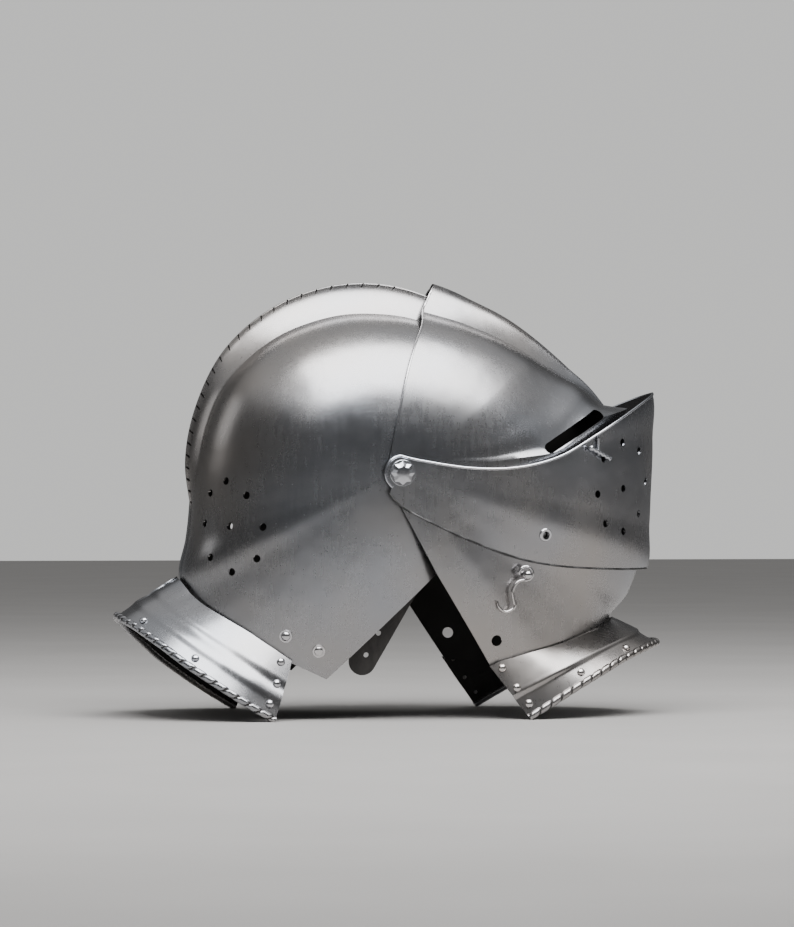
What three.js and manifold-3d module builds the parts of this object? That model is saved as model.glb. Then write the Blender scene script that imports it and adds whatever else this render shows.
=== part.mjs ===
// A close helmet of polished steel, standing open on the ends of its two gorget plates.
// Millimetres, +Z up, +X towards the front. The origin is on the ground under the middle.
import * as THREE from "three";
import { mergeVertices } from "three/addons/utils/BufferGeometryUtils.js";
import Module from "manifold-3d";

const wasm = await Module();
wasm.setup();

// Driving dimensions
const PLATE = 1.5;
const PIVOT = { x: -8.995, z: 172.7 };
const CLEARANCE = 0.3;
const CURVED_CLEARANCE = 0.6;
const OPEN_DEGREES = 55.3;
const RIGHT = -1;
const LEFT = 1;
const SIDES = [
  { name: "right", side: RIGHT },
  { name: "left", side: LEFT },
];

// How finely the plates are faceted
const DOME_STEP_DEGREES = 10;
const DOME_BANDS = 7;
const HALF_SPAN = 130;
const MERGE = 1e-4;
const DRILL_REACH = 12;
const RIVET_DRILL_REACH = 6;

// A dome is a plate's outer surface, round the pivot axis. Its reach is how far its middle line
// lies from the pivot at an angle from straight up, positive towards the front.
// Half its width at a distance r from the pivot is halfWidth (1 - (r / reach)^fullness)^(1 / keel).
const SKULL_DOME = {
  halfWidth: 97,
  fullness: 2.3,
  keel: 2.3,
  rows: [
    { angle: -175, reach: 224 },
    { angle: -163, reach: 242 },
    { angle: -155, reach: 243 },
    { angle: -146, reach: 226 },
    { angle: -138, reach: 204 },
    { angle: -130, reach: 183 },
    { angle: -122, reach: 166.5 },
    { angle: -116, reach: 158.5 },
    { angle: -109, reach: 145.5 },
    { angle: -101.7, reach: 138.2 },
    { angle: -93.6, reach: 134 },
    { angle: -82, reach: 131 },
    { angle: -64, reach: 130 },
    { angle: -48.5, reach: 126 },
    { angle: -35, reach: 122.5 },
    { angle: -24.6, reach: 119.5 },
    { angle: -12.4, reach: 117 },
    { angle: 0, reach: 114.8 },
    { angle: 13.7, reach: 114 },
    { angle: 40, reach: 112 },
    { angle: 70, reach: 110.5 },
    { angle: 100, reach: 113 },
    { angle: 130, reach: 128 },
    { angle: 158, reach: 160 },
    { angle: 172, reach: 205 },
  ],
};

const VISOR_DOME = {
  halfWidth: 99.5,
  fullness: 2.3,
  keel: 2.15,
  rows: [
    { angle: -100, reach: 121 },
    { angle: 0, reach: 121 },
    { angle: 16, reach: 121.3 },
    { angle: 30, reach: 125 },
    { angle: 41.5, reach: 131.3 },
    { angle: 51, reach: 139 },
    { angle: 61, reach: 151 },
    { angle: 67, reach: 161.5 },
    { angle: 73.3, reach: 173 },
    { angle: 75.3, reach: 189 },
    { angle: 90, reach: 187 },
    { angle: 120, reach: 186 },
  ],
};

const LOWER_BEVOR_DOME = {
  halfWidth: 102,
  fullness: 2.8,
  keel: 1.5,
  rows: [
    { angle: -160, reach: 262 },
    { angle: -140, reach: 215 },
    { angle: -90, reach: 200 },
    { angle: 60, reach: 200 },
    { angle: 95, reach: 200 },
    { angle: 105, reach: 202.3 },
    { angle: 110, reach: 204 },
    { angle: 115, reach: 204.3 },
    { angle: 120.7, reach: 200 },
    { angle: 127, reach: 207 },
    { angle: 135, reach: 226 },
    { angle: 144, reach: 254 },
    { angle: 155, reach: 262 },
  ],
};

const UPPER_BEVOR_DOME = {
  halfWidth: 104.5,
  fullness: 2.8,
  keel: 1.5,
  rows: [
    { angle: -120, reach: 212 },
    { angle: 60, reach: 212 },
    { angle: 73.8, reach: 212.2 },
    { angle: 83, reach: 205.3 },
    { angle: 93, reach: 202.9 },
    { angle: 100.2, reach: 204.7 },
    { angle: 108.8, reach: 211.3 },
    { angle: 116, reach: 208 },
    { angle: 125, reach: 209 },
    { angle: 135, reach: 220 },
    { angle: 150, reach: 240 },
  ],
};

// A crest is a hollow ridge along the middle line. Its reach is measured as a dome's, and foot is
// half its width where it leaves the dome, edge half its width at the top.
const CREST_FLARE = 2.2;
const CREST_LEVELS = 3;
const CREST_ROOT = 2;
const CREST_HOLLOW = 0.6;
const SKULL_CREST = [
  { angle: -103, reach: 136.6, foot: 14, edge: 2.4 },
  { angle: -95.1, reach: 137.5, foot: 14, edge: 2.4 },
  { angle: -87.1, reach: 139.1, foot: 14, edge: 2.4 },
  { angle: -68.5, reach: 140, foot: 14, edge: 2.4 },
  { angle: -49.9, reach: 142, foot: 14, edge: 2.4 },
  { angle: -31.5, reach: 141.2, foot: 14, edge: 2.4 },
  { angle: -13.5, reach: 139.2, foot: 14, edge: 2.4 },
  { angle: 1.7, reach: 136.6, foot: 14, edge: 2.3 },
  { angle: 13.1, reach: 134.1, foot: 13, edge: 2.1 },
  { angle: 30, reach: 130, foot: 12, edge: 1.9 },
  { angle: 48, reach: 122, foot: 11, edge: 1.7 },
  { angle: 66, reach: 110, foot: 10, edge: 1.6 },
];
const VISOR_CREST = [
  { angle: 8, reach: 143.3, foot: 17, edge: 4.3 },
  { angle: 26.8, reach: 143.4, foot: 16, edge: 3.9 },
  { angle: 42.1, reach: 148.6, foot: 14, edge: 3 },
  { angle: 51.7, reach: 153.4, foot: 12, edge: 2.4 },
  { angle: 61.3, reach: 160.8, foot: 10, edge: 2.1 },
  { angle: 67.3, reach: 168.3, foot: 8, edge: 2 },
  { angle: 73.3, reach: 175, foot: 6, edge: 2 },
  { angle: 76, reach: 178, foot: 5, edge: 2 },
];
const CREST_STEP_DEGREES = 10;

// The ledge below the sight slits bends away from a radius: this far at the near end, in degrees
const LEDGE = {
  top: 73.3,
  foot: 75.3,
  bend: 7.5,
  spread: 22,
  startRadius: 20,
  fullRadius: 70,
  nearRadius: 108,
  farRadius: 158,
};

// Outlines in the side view, from the pivot, x to the front and z up
const SKULL_EDGE = {
  brow: { x: 135, z: -24 },
  temple: { x: 72, z: -15 },
  faceTop: { x: 48, z: -27 },
  faceSide: { x: 46, z: -50 },
  cheekFront: { x: 27, z: -70.3 },
  cheekCorner: { x: -49.6, z: -144.1 },
  cheekBack: { x: -74.7, z: -132.5 },
};
// How far the skull and the lower bevor run on under their gorget plates
const NECK_OVERLAP = { out: 6.75, down: 3.6 };
const VISOR_REAR_EDGE = [
  { x: 52, z: 165 },
  { x: 41.2, z: 137.2 },
  { x: 26.2, z: 109.8 },
  { x: 13.3, z: 86.9 },
  { x: 4.3, z: 62.4 },
  { x: -3.2, z: 33.5 },
  { x: -7.6, z: 12.6 },
];
const VISOR_LOWER_EDGE = [
  { x: 60, z: -12 },
  { x: 186, z: -33 },
];
const SLIT = { backX: 110, backZ: 18, frontX: 150.5, frontZ: 42, halfHeight: 3.9 };
const UPPER_BEVOR_TOP = [
  { x: 0.3, z: 11.8 },
  { x: 15.1, z: 8.6 },
  { x: 49.4, z: 3.8 },
  { x: 83.2, z: 4.4 },
  { x: 115.2, z: 12.2 },
  { x: 146.8, z: 28.7 },
  { x: 183.7, z: 49.5 },
  { x: 203.8, z: 59.3 },
];
const UPPER_BEVOR_BOTTOM = [
  { x: 200, z: -68.2 },
  { x: 164.1, z: -68 },
  { x: 116.7, z: -65.3 },
  { x: 84, z: -59.4 },
  { x: 49.7, z: -47.4 },
  { x: 24.5, z: -36.5 },
  { x: 1, z: -24.3 },
  { x: -9, z: -14 },
];
const LOWER_BEVOR_REAR = [
  { x: -9, z: -9 },
  { x: 0, z: -24.3 },
  { x: 25.3, z: -70.4 },
  { x: 66.8, z: -136.8 },
];
const LOWER_BEVOR_TOP = [
  { x: 200, z: -45 },
  { x: 110, z: -42 },
  { x: 60, z: -32 },
  { x: 9, z: 8 },
];
// The round ends at the pivots: angles from the front, upwards
const VISOR_ARM = { radius: 12, from: 135, to: 312 };
const UPPER_BEVOR_ARM = { radius: 12.3, from: 225, to: 100 };
const LOWER_BEVOR_ARM = { radius: 12.5, from: 42, to: 225 };
// Past the helmet in front, behind and above, for edges that no outline cuts
const FAR = 240;
const NAPE_LEVEL = -80;
const PEAK_LEVEL = 77;

// The gorget plates. A row is a station from the middle to the end: where the top edge lies on the
// plate that carries it, and where the middle of the rolled edge lies.
const REAR_GORGET = [
  { neckAngle: -116.8, neckRadius: 162.5, rimX: -187.5, rimY: 0, rimZ: -101 },
  { neckAngle: -118.6, neckRadius: 162.8, rimX: -185.8, rimY: 18, rimZ: -103 },
  { neckAngle: -121, neckRadius: 162.8, rimX: -180, rimY: 36, rimZ: -107 },
  { neckAngle: -123.8, neckRadius: 161.7, rimX: -172, rimY: 53, rimZ: -113.5 },
  { neckAngle: -127.6, neckRadius: 158.6, rimX: -162, rimY: 67.5, rimZ: -121.5 },
  { neckAngle: -131.5, neckRadius: 155.3, rimX: -150, rimY: 79.5, rimZ: -131.5 },
  { neckAngle: -138.4, neckRadius: 151.2, rimX: -131, rimY: 91, rimZ: -145 },
  { neckAngle: -145.8, neckRadius: 150.1, rimX: -110.5, rimY: 97, rimZ: -158.5 },
  { neckAngle: -150.4, neckRadius: 150.7, rimX: -90.5, rimY: 98, rimZ: -170.5 },
  { neckAngle: -153, neckRadius: 151.5, rimX: -82, rimY: 98, rimZ: -175.5 },
];
const FRONT_GORGET = [
  { neckAngle: 120.7, neckRadius: 202, rimX: 205.5, rimY: 0, rimZ: -121.5 },
  { neckAngle: 122.6, neckRadius: 198.5, rimX: 202, rimY: 20, rimZ: -121.6 },
  { neckAngle: 124.8, neckRadius: 193.1, rimX: 194.5, rimY: 37, rimZ: -122.5 },
  { neckAngle: 128.3, neckRadius: 183.4, rimX: 182, rimY: 55, rimZ: -125.5 },
  { neckAngle: 132, neckRadius: 175.7, rimX: 165, rimY: 71, rimZ: -131.5 },
  { neckAngle: 136.9, neckRadius: 166.7, rimX: 146, rimY: 83.5, rimZ: -140.5 },
  { neckAngle: 141.8, neckRadius: 159.3, rimX: 126, rimY: 91.5, rimZ: -151 },
  { neckAngle: 146.8, neckRadius: 153.9, rimX: 107, rimY: 96, rimZ: -162 },
  { neckAngle: 152.1, neckRadius: 150, rimX: 89, rimY: 98, rimZ: -172.4 },
  { neckAngle: 155, neckRadius: 150, rimX: 81, rimY: 98, rimZ: -176.5 },
];
const GORGET_STATIONS = 9;
const GORGET_LIFT = 0.9;
const GORGET_CROWDING = 1.3;
// A gorget plate's outside is told from its inside by this stretched distance from the middle
const SIDE_STRETCH = 1.5;
const LAST_STATION = 0.98;
const RIM_RADIUS = 2.6;
const RIM_SIDES = 6;
const RIM_STEPS = 20;
// Height of the low ridges that run along a gorget plate, by the share of the way to the rim
const GORGET_RIDGES = [
  { share: 0, rise: 0 },
  { share: 0.34, rise: 1.6 },
  { share: 0.4, rise: 0.2 },
  { share: 0.6, rise: 1.8 },
  { share: 0.66, rise: 0.4 },
  { share: 1, rise: 0 },
];
// The end edges of the two gorget plates meet when the helmet is closed
const GORGET_END = { topAngle: -150.4, topRadius: 150.7, footAngle: -152.8, footRadius: 193.9 };
const FOOT_LEVEL = -PIVOT.z;

// Small pieces. x and z are from the pivot.
const SKULL_BREATHS = [
  { x: -115.1, z: -37 },
  { x: -116.9, z: -5.4 },
  { x: -104.4, z: -15.5 },
  { x: -94.1, z: -37.6 },
  { x: -98.2, z: -59.7 },
  { x: -114.2, z: -69.1 },
  { x: -127.4, z: -59 },
  { x: -129.5, z: -35.2 },
  { x: -126.1, z: -13.8 },
];
const BEVOR_BREATHS = [
  { x: 168.9, z: -10.6 },
  { x: 167.7, z: 22.4 },
  { x: 183.9, z: 16.7 },
  { x: 191.7, z: -5.3 },
  { x: 184.5, z: -28.6 },
  { x: 169.1, z: -41.1 },
  { x: 153, z: -35.5 },
  { x: 146.2, z: -14.6 },
  { x: 151.2, z: 10.5 },
];
const BREATH_RADIUS = 2.7;
const HOLE_SIDES = 6;
const BOLT = { head: 9.4, base: 1.2, rise: 4.4, shank: 3.5, facets: 8, nut: 7, nutHeight: 3 };
const CHEEK_RIVET = { x: -78.6, z: -113.8, head: 3.3, rise: 2.4, washer: 4.7, washerHeight: 0.5 };
const CLOSING_STUD = { x: -55.9, z: -124.3, head: 3.2, rise: 1, washer: 4.7, washerHeight: 0.4 };
const CLOSING_HOLE = { angle: 149.3, radius: 136.6, bore: 3.9 };
const RIVET = { head: 3, rise: 1.9, shank: 1.4, sides: 6 };
const STUD_SIDES = 8;
// Where a domed head's facets meet, as shares of its radius and its rise
const SHOULDER = { radius: 0.75, rise: 0.7 };
// Places of the gorget rivets: station counts from the middle, share from the top edge to the rim
const REAR_RIVETS = [
  { station: 0.233, share: 0.84 },
  { station: 0.575, share: 0.84 },
  { station: 0.822, share: 0.12 },
  { station: 0.85, share: 0.46 },
  { station: 0.855, share: 0.81 },
];
const FRONT_RIVETS = [
  { station: 0.363, share: 0.8 },
  { station: 0.602, share: 0.79 },
  { station: 0.875, share: 0.12 },
  { station: 0.857, share: 0.5 },
  { station: 0.842, share: 0.81 },
];
// The hook's shank is measured from its rivet. Its eye runs round that from one angle to another.
const HOOK = { x: 90.8, z: -71.4, standOff: 7.6, wire: 1.15 };
const HOOK_EYE = { x: -1.4, z: 1.1, radius: 4.8, from: 190, to: -80, steps: 8 };
const HOOK_SHANK = [
  { x: -4.6, z: -3.8 },
  { x: -7.4, z: -5.2 },
  { x: -9.6, z: -7.6 },
  { x: -10.8, z: -10.4 },
  { x: -10.9, z: -13.2 },
  { x: -10.1, z: -17.4 },
  { x: -9.2, z: -20.9 },
  { x: -10, z: -23 },
  { x: -12.2, z: -24.8 },
  { x: -15, z: -25.8 },
  { x: -17.8, z: -25 },
  { x: -20.2, z: -22.9 },
  { x: -21.4, z: -20.2 },
  { x: -21.8, z: -18 },
];
const HOOK_STEPS = 28;
const HOOK_SIDES = 5;
const HOOK_RIVET = {
  foot: 3,
  footClearance: 0.9,
  footHeight: 4.6,
  post: 1.4,
  head: 2.9,
  rise: 2.2,
};
const EYELET = { x: 104.5, z: -43.3, outer: 4.8, inner: 2.4, rise: 0.9, slope: 0.6, sides: 12 };
const PEG = {
  stemX: 145.2,
  stemTop: 27.4,
  stemFoot: 14,
  stemWidth: 3.4,
  stemThick: 1.6,
  barLength: 20,
  barRadius: 1.6,
  barRise: 19,
  barShift: 1,
  ball: 2.1,
  ballGap: 0.6,
  standOff: 0.5,
  sides: 8,
};
const STRAP = {
  topX: 26.7,
  topZ: -41.7,
  endX: -28.4,
  endZ: -140.3,
  width: 19,
  thick: 2.4,
  topY: 87.4,
  endY: 76,
  hole: 1.9,
  firstHole: 32.6,
  holePitch: 17.6,
  rivetInset: 8,
};
const SHORT_STRAP_LENGTH = 62;
const STRAP_RIVET = { head: 3, rise: 1.2, edge: 0.6, gap: 0.1 };
const BUCKLE = { width: 26, height: 20, bar: 2.6 };

// Finishes
function steel(color, roughness) {
  return new THREE.MeshStandardMaterial({ color, roughness, metalness: 1 });
}
const FINISH = {
  plate: () => steel(0xb9bbbd, 0.34),
  bright: () => steel(0xd2d4d6, 0.22),
  leather: () => new THREE.MeshStandardMaterial({ color: 0x24221f, roughness: 0.7, metalness: 0 }),
};

const radians = THREE.MathUtils.degToRad;

// A point of the side view at a distance from the pivot and an angle from straight up.
function sidePoint(angle, radius) {
  return {
    x: radius * Math.sin(radians(angle)),
    z: radius * Math.cos(radians(angle)),
  };
}

// A smooth curve through one column of a table that doesn't overshoot between its rows.
function lookup(rows, key, value) {
  const keys = rows.map((row) => row[key]);
  const values = rows.map((row) => row[value]);
  const secants = keys.slice(1).map((k, i) => (values[i + 1] - values[i]) / (k - keys[i]));
  const slopes = keys.map((_, i) => {
    const before = secants[Math.max(i - 1, 0)];
    const after = secants[Math.min(i, secants.length - 1)];
    return before * after <= 0 ? 0 : (2 * before * after) / (before + after);
  });
  return (at) => {
    const clamped = THREE.MathUtils.clamp(at, keys[0], keys[keys.length - 1]);
    const after = keys.findIndex((k) => k > clamped);
    const i = after < 0 ? keys.length - 2 : after - 1;
    const span = keys[i + 1] - keys[i];
    const s = (clamped - keys[i]) / span;
    const ease = s * s * (3 - 2 * s);
    const bulge = span * s * (1 - s) * ((1 - s) * slopes[i] - s * slopes[i + 1]);
    return values[i] * (1 - ease) + values[i + 1] * ease + bulge;
  };
}

// A dome's reach at any angle, with its table closed round the full turn.
function reachOf(dome) {
  const rows = dome.rows;
  const first = rows[0].angle;
  const turn = [
    { ...rows[rows.length - 1], angle: rows[rows.length - 1].angle - 360 },
    ...rows,
    { ...rows[0], angle: first + 360 },
    { ...rows[1], angle: rows[1].angle + 360 },
  ];
  const smooth = lookup(turn, "angle", "reach");
  return (angle) => smooth(first + THREE.MathUtils.euclideanModulo(angle - first, 360));
}

for (const dome of [SKULL_DOME, VISOR_DOME, LOWER_BEVOR_DOME, UPPER_BEVOR_DOME]) {
  dome.reach = reachOf(dome);
}

// Half the dome's width at a point of the side view. Lift moves the surface outwards.
function halfWidthAt(dome, x, z, lift = 0) {
  const angle = THREE.MathUtils.radToDeg(Math.atan2(x, z));
  const share = Math.hypot(x, z) / (dome.reach(angle) + lift);
  if (share >= 1) return 0;
  return (dome.halfWidth + lift) * (1 - share ** dome.fullness) ** (1 / dome.keel);
}

// A point on a dome with its outward normal, on one side of the helmet.
function onDome(dome, x, z, side, lift = 0) {
  const step = 0.5;
  const at = (u, v) => new THREE.Vector3(u, side * halfWidthAt(dome, u, v, lift), v);
  const alongX = at(x + step, z).sub(at(x - step, z));
  const alongZ = at(x, z + step).sub(at(x, z - step));
  const normal = alongX.cross(alongZ).multiplyScalar(-side).normalize();
  return { point: at(x, z), normal };
}

// A closed geometry from its corners and triangles, turned so that its faces point outwards.
function closedGeometry(corners, triangles) {
  const volume = triangles.reduce((sum, [a, b, c]) => {
    const [p, q, r] = [corners[a], corners[b], corners[c]];
    return sum + p.dot(q.clone().cross(r));
  }, 0);
  const turned = volume < 0 ? triangles.map(([a, b, c]) => [a, c, b]) : triangles;
  const geometry = new THREE.BufferGeometry().setFromPoints(corners);
  geometry.setIndex(turned.flat());
  return geometry;
}

// A geometry as a solid that can be joined and cut.
function solid(geometry) {
  const bare = geometry.index ? geometry.toNonIndexed() : geometry.clone();
  bare.deleteAttribute("normal");
  bare.deleteAttribute("uv");
  const merged = mergeVertices(bare, MERGE);
  return new wasm.Manifold(
    new wasm.Mesh({
      numProp: 3,
      vertProperties: merged.attributes.position.array,
      triVerts: new Uint32Array(merged.index.array),
    }),
  );
}

function geometryOf(made) {
  const mesh = made.getMesh();
  const geometry = new THREE.BufferGeometry();
  geometry.setAttribute("position", new THREE.BufferAttribute(mesh.vertProperties, 3));
  geometry.setIndex(new THREE.BufferAttribute(mesh.triVerts, 1));
  const flat = geometry.toNonIndexed();
  flat.computeVertexNormals();
  return flat;
}

// The full closed body inside a dome. Rows run from the left pivot to the right one.
function domeBody(dome, lift) {
  const angles = [];
  for (let angle = -180; angle < 180; angle += DOME_STEP_DEGREES) angles.push(angle);
  if (dome === VISOR_DOME) {
    const nearest = Math.round((LEDGE.top + 180) / DOME_STEP_DEGREES);
    angles.splice(nearest, 1, LEDGE.top, LEDGE.foot);
  }
  const rows = 2 * DOME_BANDS;
  const corners = [new THREE.Vector3(0, dome.halfWidth + lift, 0)];
  for (let row = 1; row < rows; row += 1) {
    const turn = (row / rows) * Math.PI;
    const share = Math.sin(turn) ** (2 / dome.fullness);
    const width = (1 - share ** dome.fullness) ** (1 / dome.keel) * Math.sign(Math.cos(turn));
    for (const angle of angles) {
      const radius = share * (dome.reach(angle) + lift);
      const bent = angle + (dome === VISOR_DOME ? ledgeBend(angle, radius) : 0);
      const { x, z } = sidePoint(bent, radius);
      const y = row === DOME_BANDS ? 0 : width * (dome.halfWidth + lift);
      corners.push(new THREE.Vector3(x, y, z));
    }
  }
  corners.push(new THREE.Vector3(0, -dome.halfWidth - lift, 0));
  const last = corners.length - 1;
  const at = (row, i) => 1 + (row - 1) * angles.length + (i % angles.length);
  const triangles = [];
  for (let i = 0; i < angles.length; i += 1) {
    triangles.push([0, at(1, i), at(1, i + 1)]);
    triangles.push([last, at(rows - 1, i + 1), at(rows - 1, i)]);
    for (let row = 1; row < rows - 1; row += 1) {
      triangles.push([at(row, i), at(row + 1, i), at(row + 1, i + 1)]);
      triangles.push([at(row, i), at(row + 1, i + 1), at(row, i + 1)]);
    }
  }
  return solid(closedGeometry(corners, triangles));
}

// How far the visor's ledge is turned down at a distance from the pivot.
function ledgeBend(angle, radius) {
  const near = 1 - THREE.MathUtils.smoothstep(radius, LEDGE.nearRadius, LEDGE.farRadius);
  const inside = THREE.MathUtils.smoothstep(radius, LEDGE.startRadius, LEDGE.fullRadius);
  const off = (angle - 0.5 * (LEDGE.top + LEDGE.foot)) / LEDGE.spread;
  return LEDGE.bend * near * inside * Math.max(0, 1 - off * off);
}

// The body of a crest, from inside the dome up to its edge. Inset makes the hollow under it.
function crestBody(dome, table, inset) {
  const reach = lookup(table, "angle", "reach");
  const foot = lookup(table, "angle", "foot");
  const edge = lookup(table, "angle", "edge");
  const first = table[0].angle;
  const last = table[table.length - 1].angle;
  const steps = Math.round((last - first) / CREST_STEP_DEGREES);
  const corners = [];
  for (let i = 0; i <= steps; i += 1) {
    const angle = first + ((last - first) * i) / steps;
    const low = dome.reach(angle) - CREST_ROOT - inset;
    const high = Math.max(reach(angle) - inset, low + 1);
    const [wide, narrow] = [foot(angle) - inset, Math.max(edge(angle) - inset, CREST_HOLLOW)];
    for (const side of SIDES.map((s) => s.side)) {
      for (let j = 0; j <= CREST_LEVELS; j += 1) {
        const level = side === RIGHT ? j : CREST_LEVELS - j;
        const up = level / CREST_LEVELS;
        const width = narrow + (wide - narrow) * (1 - up) ** CREST_FLARE;
        const { x, z } = sidePoint(angle, low + (high - low) * up);
        corners.push(new THREE.Vector3(x, side * width, z));
      }
    }
  }
  return solid(closedGeometry(corners, tubeTriangles(steps + 1, 2 * (CREST_LEVELS + 1))));
}

// Triangles of a tube of closed loops, with a flat strip over each end. A loop's first half and
// its second half, taken backwards, face each other.
function tubeTriangles(loops, count) {
  const at = (i, j) => i * count + (j % count);
  const triangles = [];
  for (let i = 0; i + 1 < loops; i += 1) {
    for (let j = 0; j < count; j += 1) {
      triangles.push([at(i, j), at(i + 1, j), at(i + 1, j + 1)]);
      triangles.push([at(i, j), at(i + 1, j + 1), at(i, j + 1)]);
    }
  }
  for (const [end, turned] of [
    [0, false],
    [loops - 1, true],
  ]) {
    for (let j = 0; j + 1 < count / 2; j += 1) {
      const [a, b] = [at(end, j), at(end, j + 1)];
      const [c, d] = [at(end, count - 1 - j), at(end, count - 2 - j)];
      triangles.push(turned ? [a, c, b] : [a, b, c]);
      triangles.push(turned ? [b, c, d] : [b, d, c]);
    }
  }
  return triangles;
}

// A block that runs right across the helmet with the given outline in the side view.
function sideBlock(shape, curveSegments = 4) {
  const geometry = new THREE.ExtrudeGeometry(shape, {
    depth: 2 * HALF_SPAN,
    bevelEnabled: false,
    curveSegments,
  });
  geometry.rotateX(Math.PI / 2);
  geometry.translate(0, HALF_SPAN, 0);
  return solid(geometry);
}

function vector2(row) {
  return new THREE.Vector2(row.x, row.z);
}

// A plate: the wall of a dome, with its crest if it has one, inside an outline.
function plate(dome, crest, shape) {
  let outer = domeBody(dome, 0);
  let inner = domeBody(dome, -PLATE);
  if (crest) {
    outer = outer.add(crestBody(dome, crest, 0));
    inner = inner.add(crestBody(dome, crest, PLATE));
  }
  return outer.subtract(inner).intersect(sideBlock(shape));
}

// A drill along a direction through a point.
function drill(point, normal, radius, reach = DRILL_REACH) {
  const geometry = new THREE.CylinderGeometry(radius, radius, 2 * reach, HOLE_SIDES);
  placeAlong(geometry, point, normal);
  return solid(geometry);
}

// Turns a geometry made along +Y to stand along a normal at a point.
function placeAlong(geometry, point, normal) {
  const turn = new THREE.Quaternion().setFromUnitVectors(new THREE.Vector3(0, 1, 0), normal);
  geometry.applyQuaternion(turn);
  geometry.translate(point.x, point.y, point.z);
  return geometry;
}

function drillDome(made, dome, places, radius) {
  for (const place of places) {
    for (const { side } of SIDES) {
      const { point, normal } = onDome(dome, place.x, place.z, side);
      made = made.subtract(drill(point, normal, radius));
    }
  }
  return made;
}

// The clearance holes for the pivot bolts.
function drillPivots(made, radius) {
  const across = new THREE.CylinderGeometry(radius, radius, 2 * HALF_SPAN, BOLT.facets);
  return made.subtract(solid(across));
}

const helmet = new THREE.Group();
helmet.position.set(PIVOT.x, 0, PIVOT.z);

function addPiece(name, geometry, material) {
  const mesh = new THREE.Mesh(geometry, material);
  mesh.name = name;
  helmet.add(mesh);
}

// Station points along a gorget plate, from its far end through the middle to the near end.
function gorgetStations(table, dome) {
  const rows = table.map((row, i) => ({ ...row, at: i / (table.length - 1) }));
  const columns = ["neckAngle", "neckRadius", "rimX", "rimY", "rimZ"];
  const smooth = Object.fromEntries(columns.map((c) => [c, lookup(rows, "at", c)]));
  return (signed, share, lift) => {
    const at = Math.abs(signed);
    const side = signed < 0 ? RIGHT : LEFT;
    const angle = smooth.neckAngle(at);
    const onMiddle = at === 0;
    const radius = onMiddle ? dome.reach(angle) + lift : smooth.neckRadius(at);
    const neck = sidePoint(angle, radius);
    const width = onMiddle ? 0 : halfWidthAt(dome, neck.x, neck.z, lift);
    const rim = new THREE.Vector3(smooth.rimX(at), side * smooth.rimY(at), smooth.rimZ(at));
    const top = new THREE.Vector3(neck.x, side * width, neck.z);
    return top.lerp(rim, share);
  };
}

// The signed place of a gorget plate's station, with the stations closer near the middle.
function stationAt(i) {
  const even = i / GORGET_STATIONS - 1;
  return Math.sign(even) * Math.abs(even) ** GORGET_CROWDING;
}

// The outward normal of a gorget plate at a station and share, off its straight wall.
function gorgetNormal(stations, at, share) {
  const step = 0.01;
  const along = stations(at + step, share, 0).sub(stations(at - step, share, 0));
  const down = stations(at, share + step, 0).sub(stations(at, share - step, 0));
  const normal = along.cross(down).normalize();
  const out = stations(at, share, 0);
  out.y *= SIDE_STRETCH;
  out.z = 0;
  return normal.dot(out) < 0 ? normal.negate() : normal;
}

// A gorget plate with its ridges and rolled edge, cut off along its end edge.
function gorgetPlate(table, dome, keep) {
  const stations = gorgetStations(table, dome);
  const corners = [];
  const counts = GORGET_RIDGES.length;
  for (let i = 0; i < 2 * GORGET_STATIONS + 1; i += 1) {
    const at = stationAt(i);
    const wall = (row, depth) => {
      const base = stations(at, row.share, GORGET_LIFT + PLATE);
      const inside = THREE.MathUtils.clamp(at, -LAST_STATION, LAST_STATION);
      const normal = gorgetNormal(stations, inside, row.share);
      return base.addScaledVector(normal, row.rise - depth);
    };
    for (const row of GORGET_RIDGES) corners.push(wall(row, 0));
    for (const row of [...GORGET_RIDGES].reverse()) corners.push(wall(row, PLATE));
  }
  const body = solid(
    closedGeometry(corners, tubeTriangles(2 * GORGET_STATIONS + 1, 2 * counts)),
  );
  return body.add(rolledEdge(stations)).intersect(keep);
}

// The tube along a gorget plate's lower edge.
function rolledEdge(stations) {
  const points = [];
  for (let i = 0; i <= 2 * GORGET_STATIONS; i += 1) {
    points.push(stations(stationAt(i), 1, 0));
  }
  const circle = new THREE.Shape();
  for (let i = 0; i < RIM_SIDES; i += 1) {
    const turn = ((i + 0.5) / RIM_SIDES) * 2 * Math.PI;
    const corner = [RIM_RADIUS * Math.cos(turn), RIM_RADIUS * Math.sin(turn)];
    if (i === 0) circle.moveTo(...corner);
    else circle.lineTo(...corner);
  }
  circle.closePath();
  const geometry = new THREE.ExtrudeGeometry(circle, {
    steps: RIM_STEPS,
    extrudePath: new THREE.CatmullRomCurve3(points),
  });
  return solid(geometry);
}

// The space that a gorget plate may fill: behind its end edge, above the ground.
function gorgetSpace(turn, front) {
  const top = sidePoint(GORGET_END.topAngle + turn, GORGET_END.topRadius);
  const foot = sidePoint(GORGET_END.footAngle + turn, GORGET_END.footRadius);
  const run = { x: foot.x - top.x, z: foot.z - top.z };
  const scale = (top.z - FOOT_LEVEL) / -run.z;
  const far = front ? FAR : -FAR;
  const shape = new THREE.Shape([
    new THREE.Vector2(top.x - 2 * run.x, top.z - 2 * run.z),
    new THREE.Vector2(top.x + run.x * scale, FOOT_LEVEL),
    new THREE.Vector2(far, FOOT_LEVEL),
    new THREE.Vector2(far, top.z - 2 * run.z),
  ]);
  return sideBlock(shape);
}

// Points along a gorget plate's neck edge, moved down by the overlap, from the end to the middle.
function neckOutline(table) {
  return table
    .slice(0, -1)
    .reverse()
    .map((row) => {
      const { x, z } = sidePoint(row.neckAngle, row.neckRadius + NECK_OVERLAP.out);
      return new THREE.Vector2(x, z - NECK_OVERLAP.down);
    });
}

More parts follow.
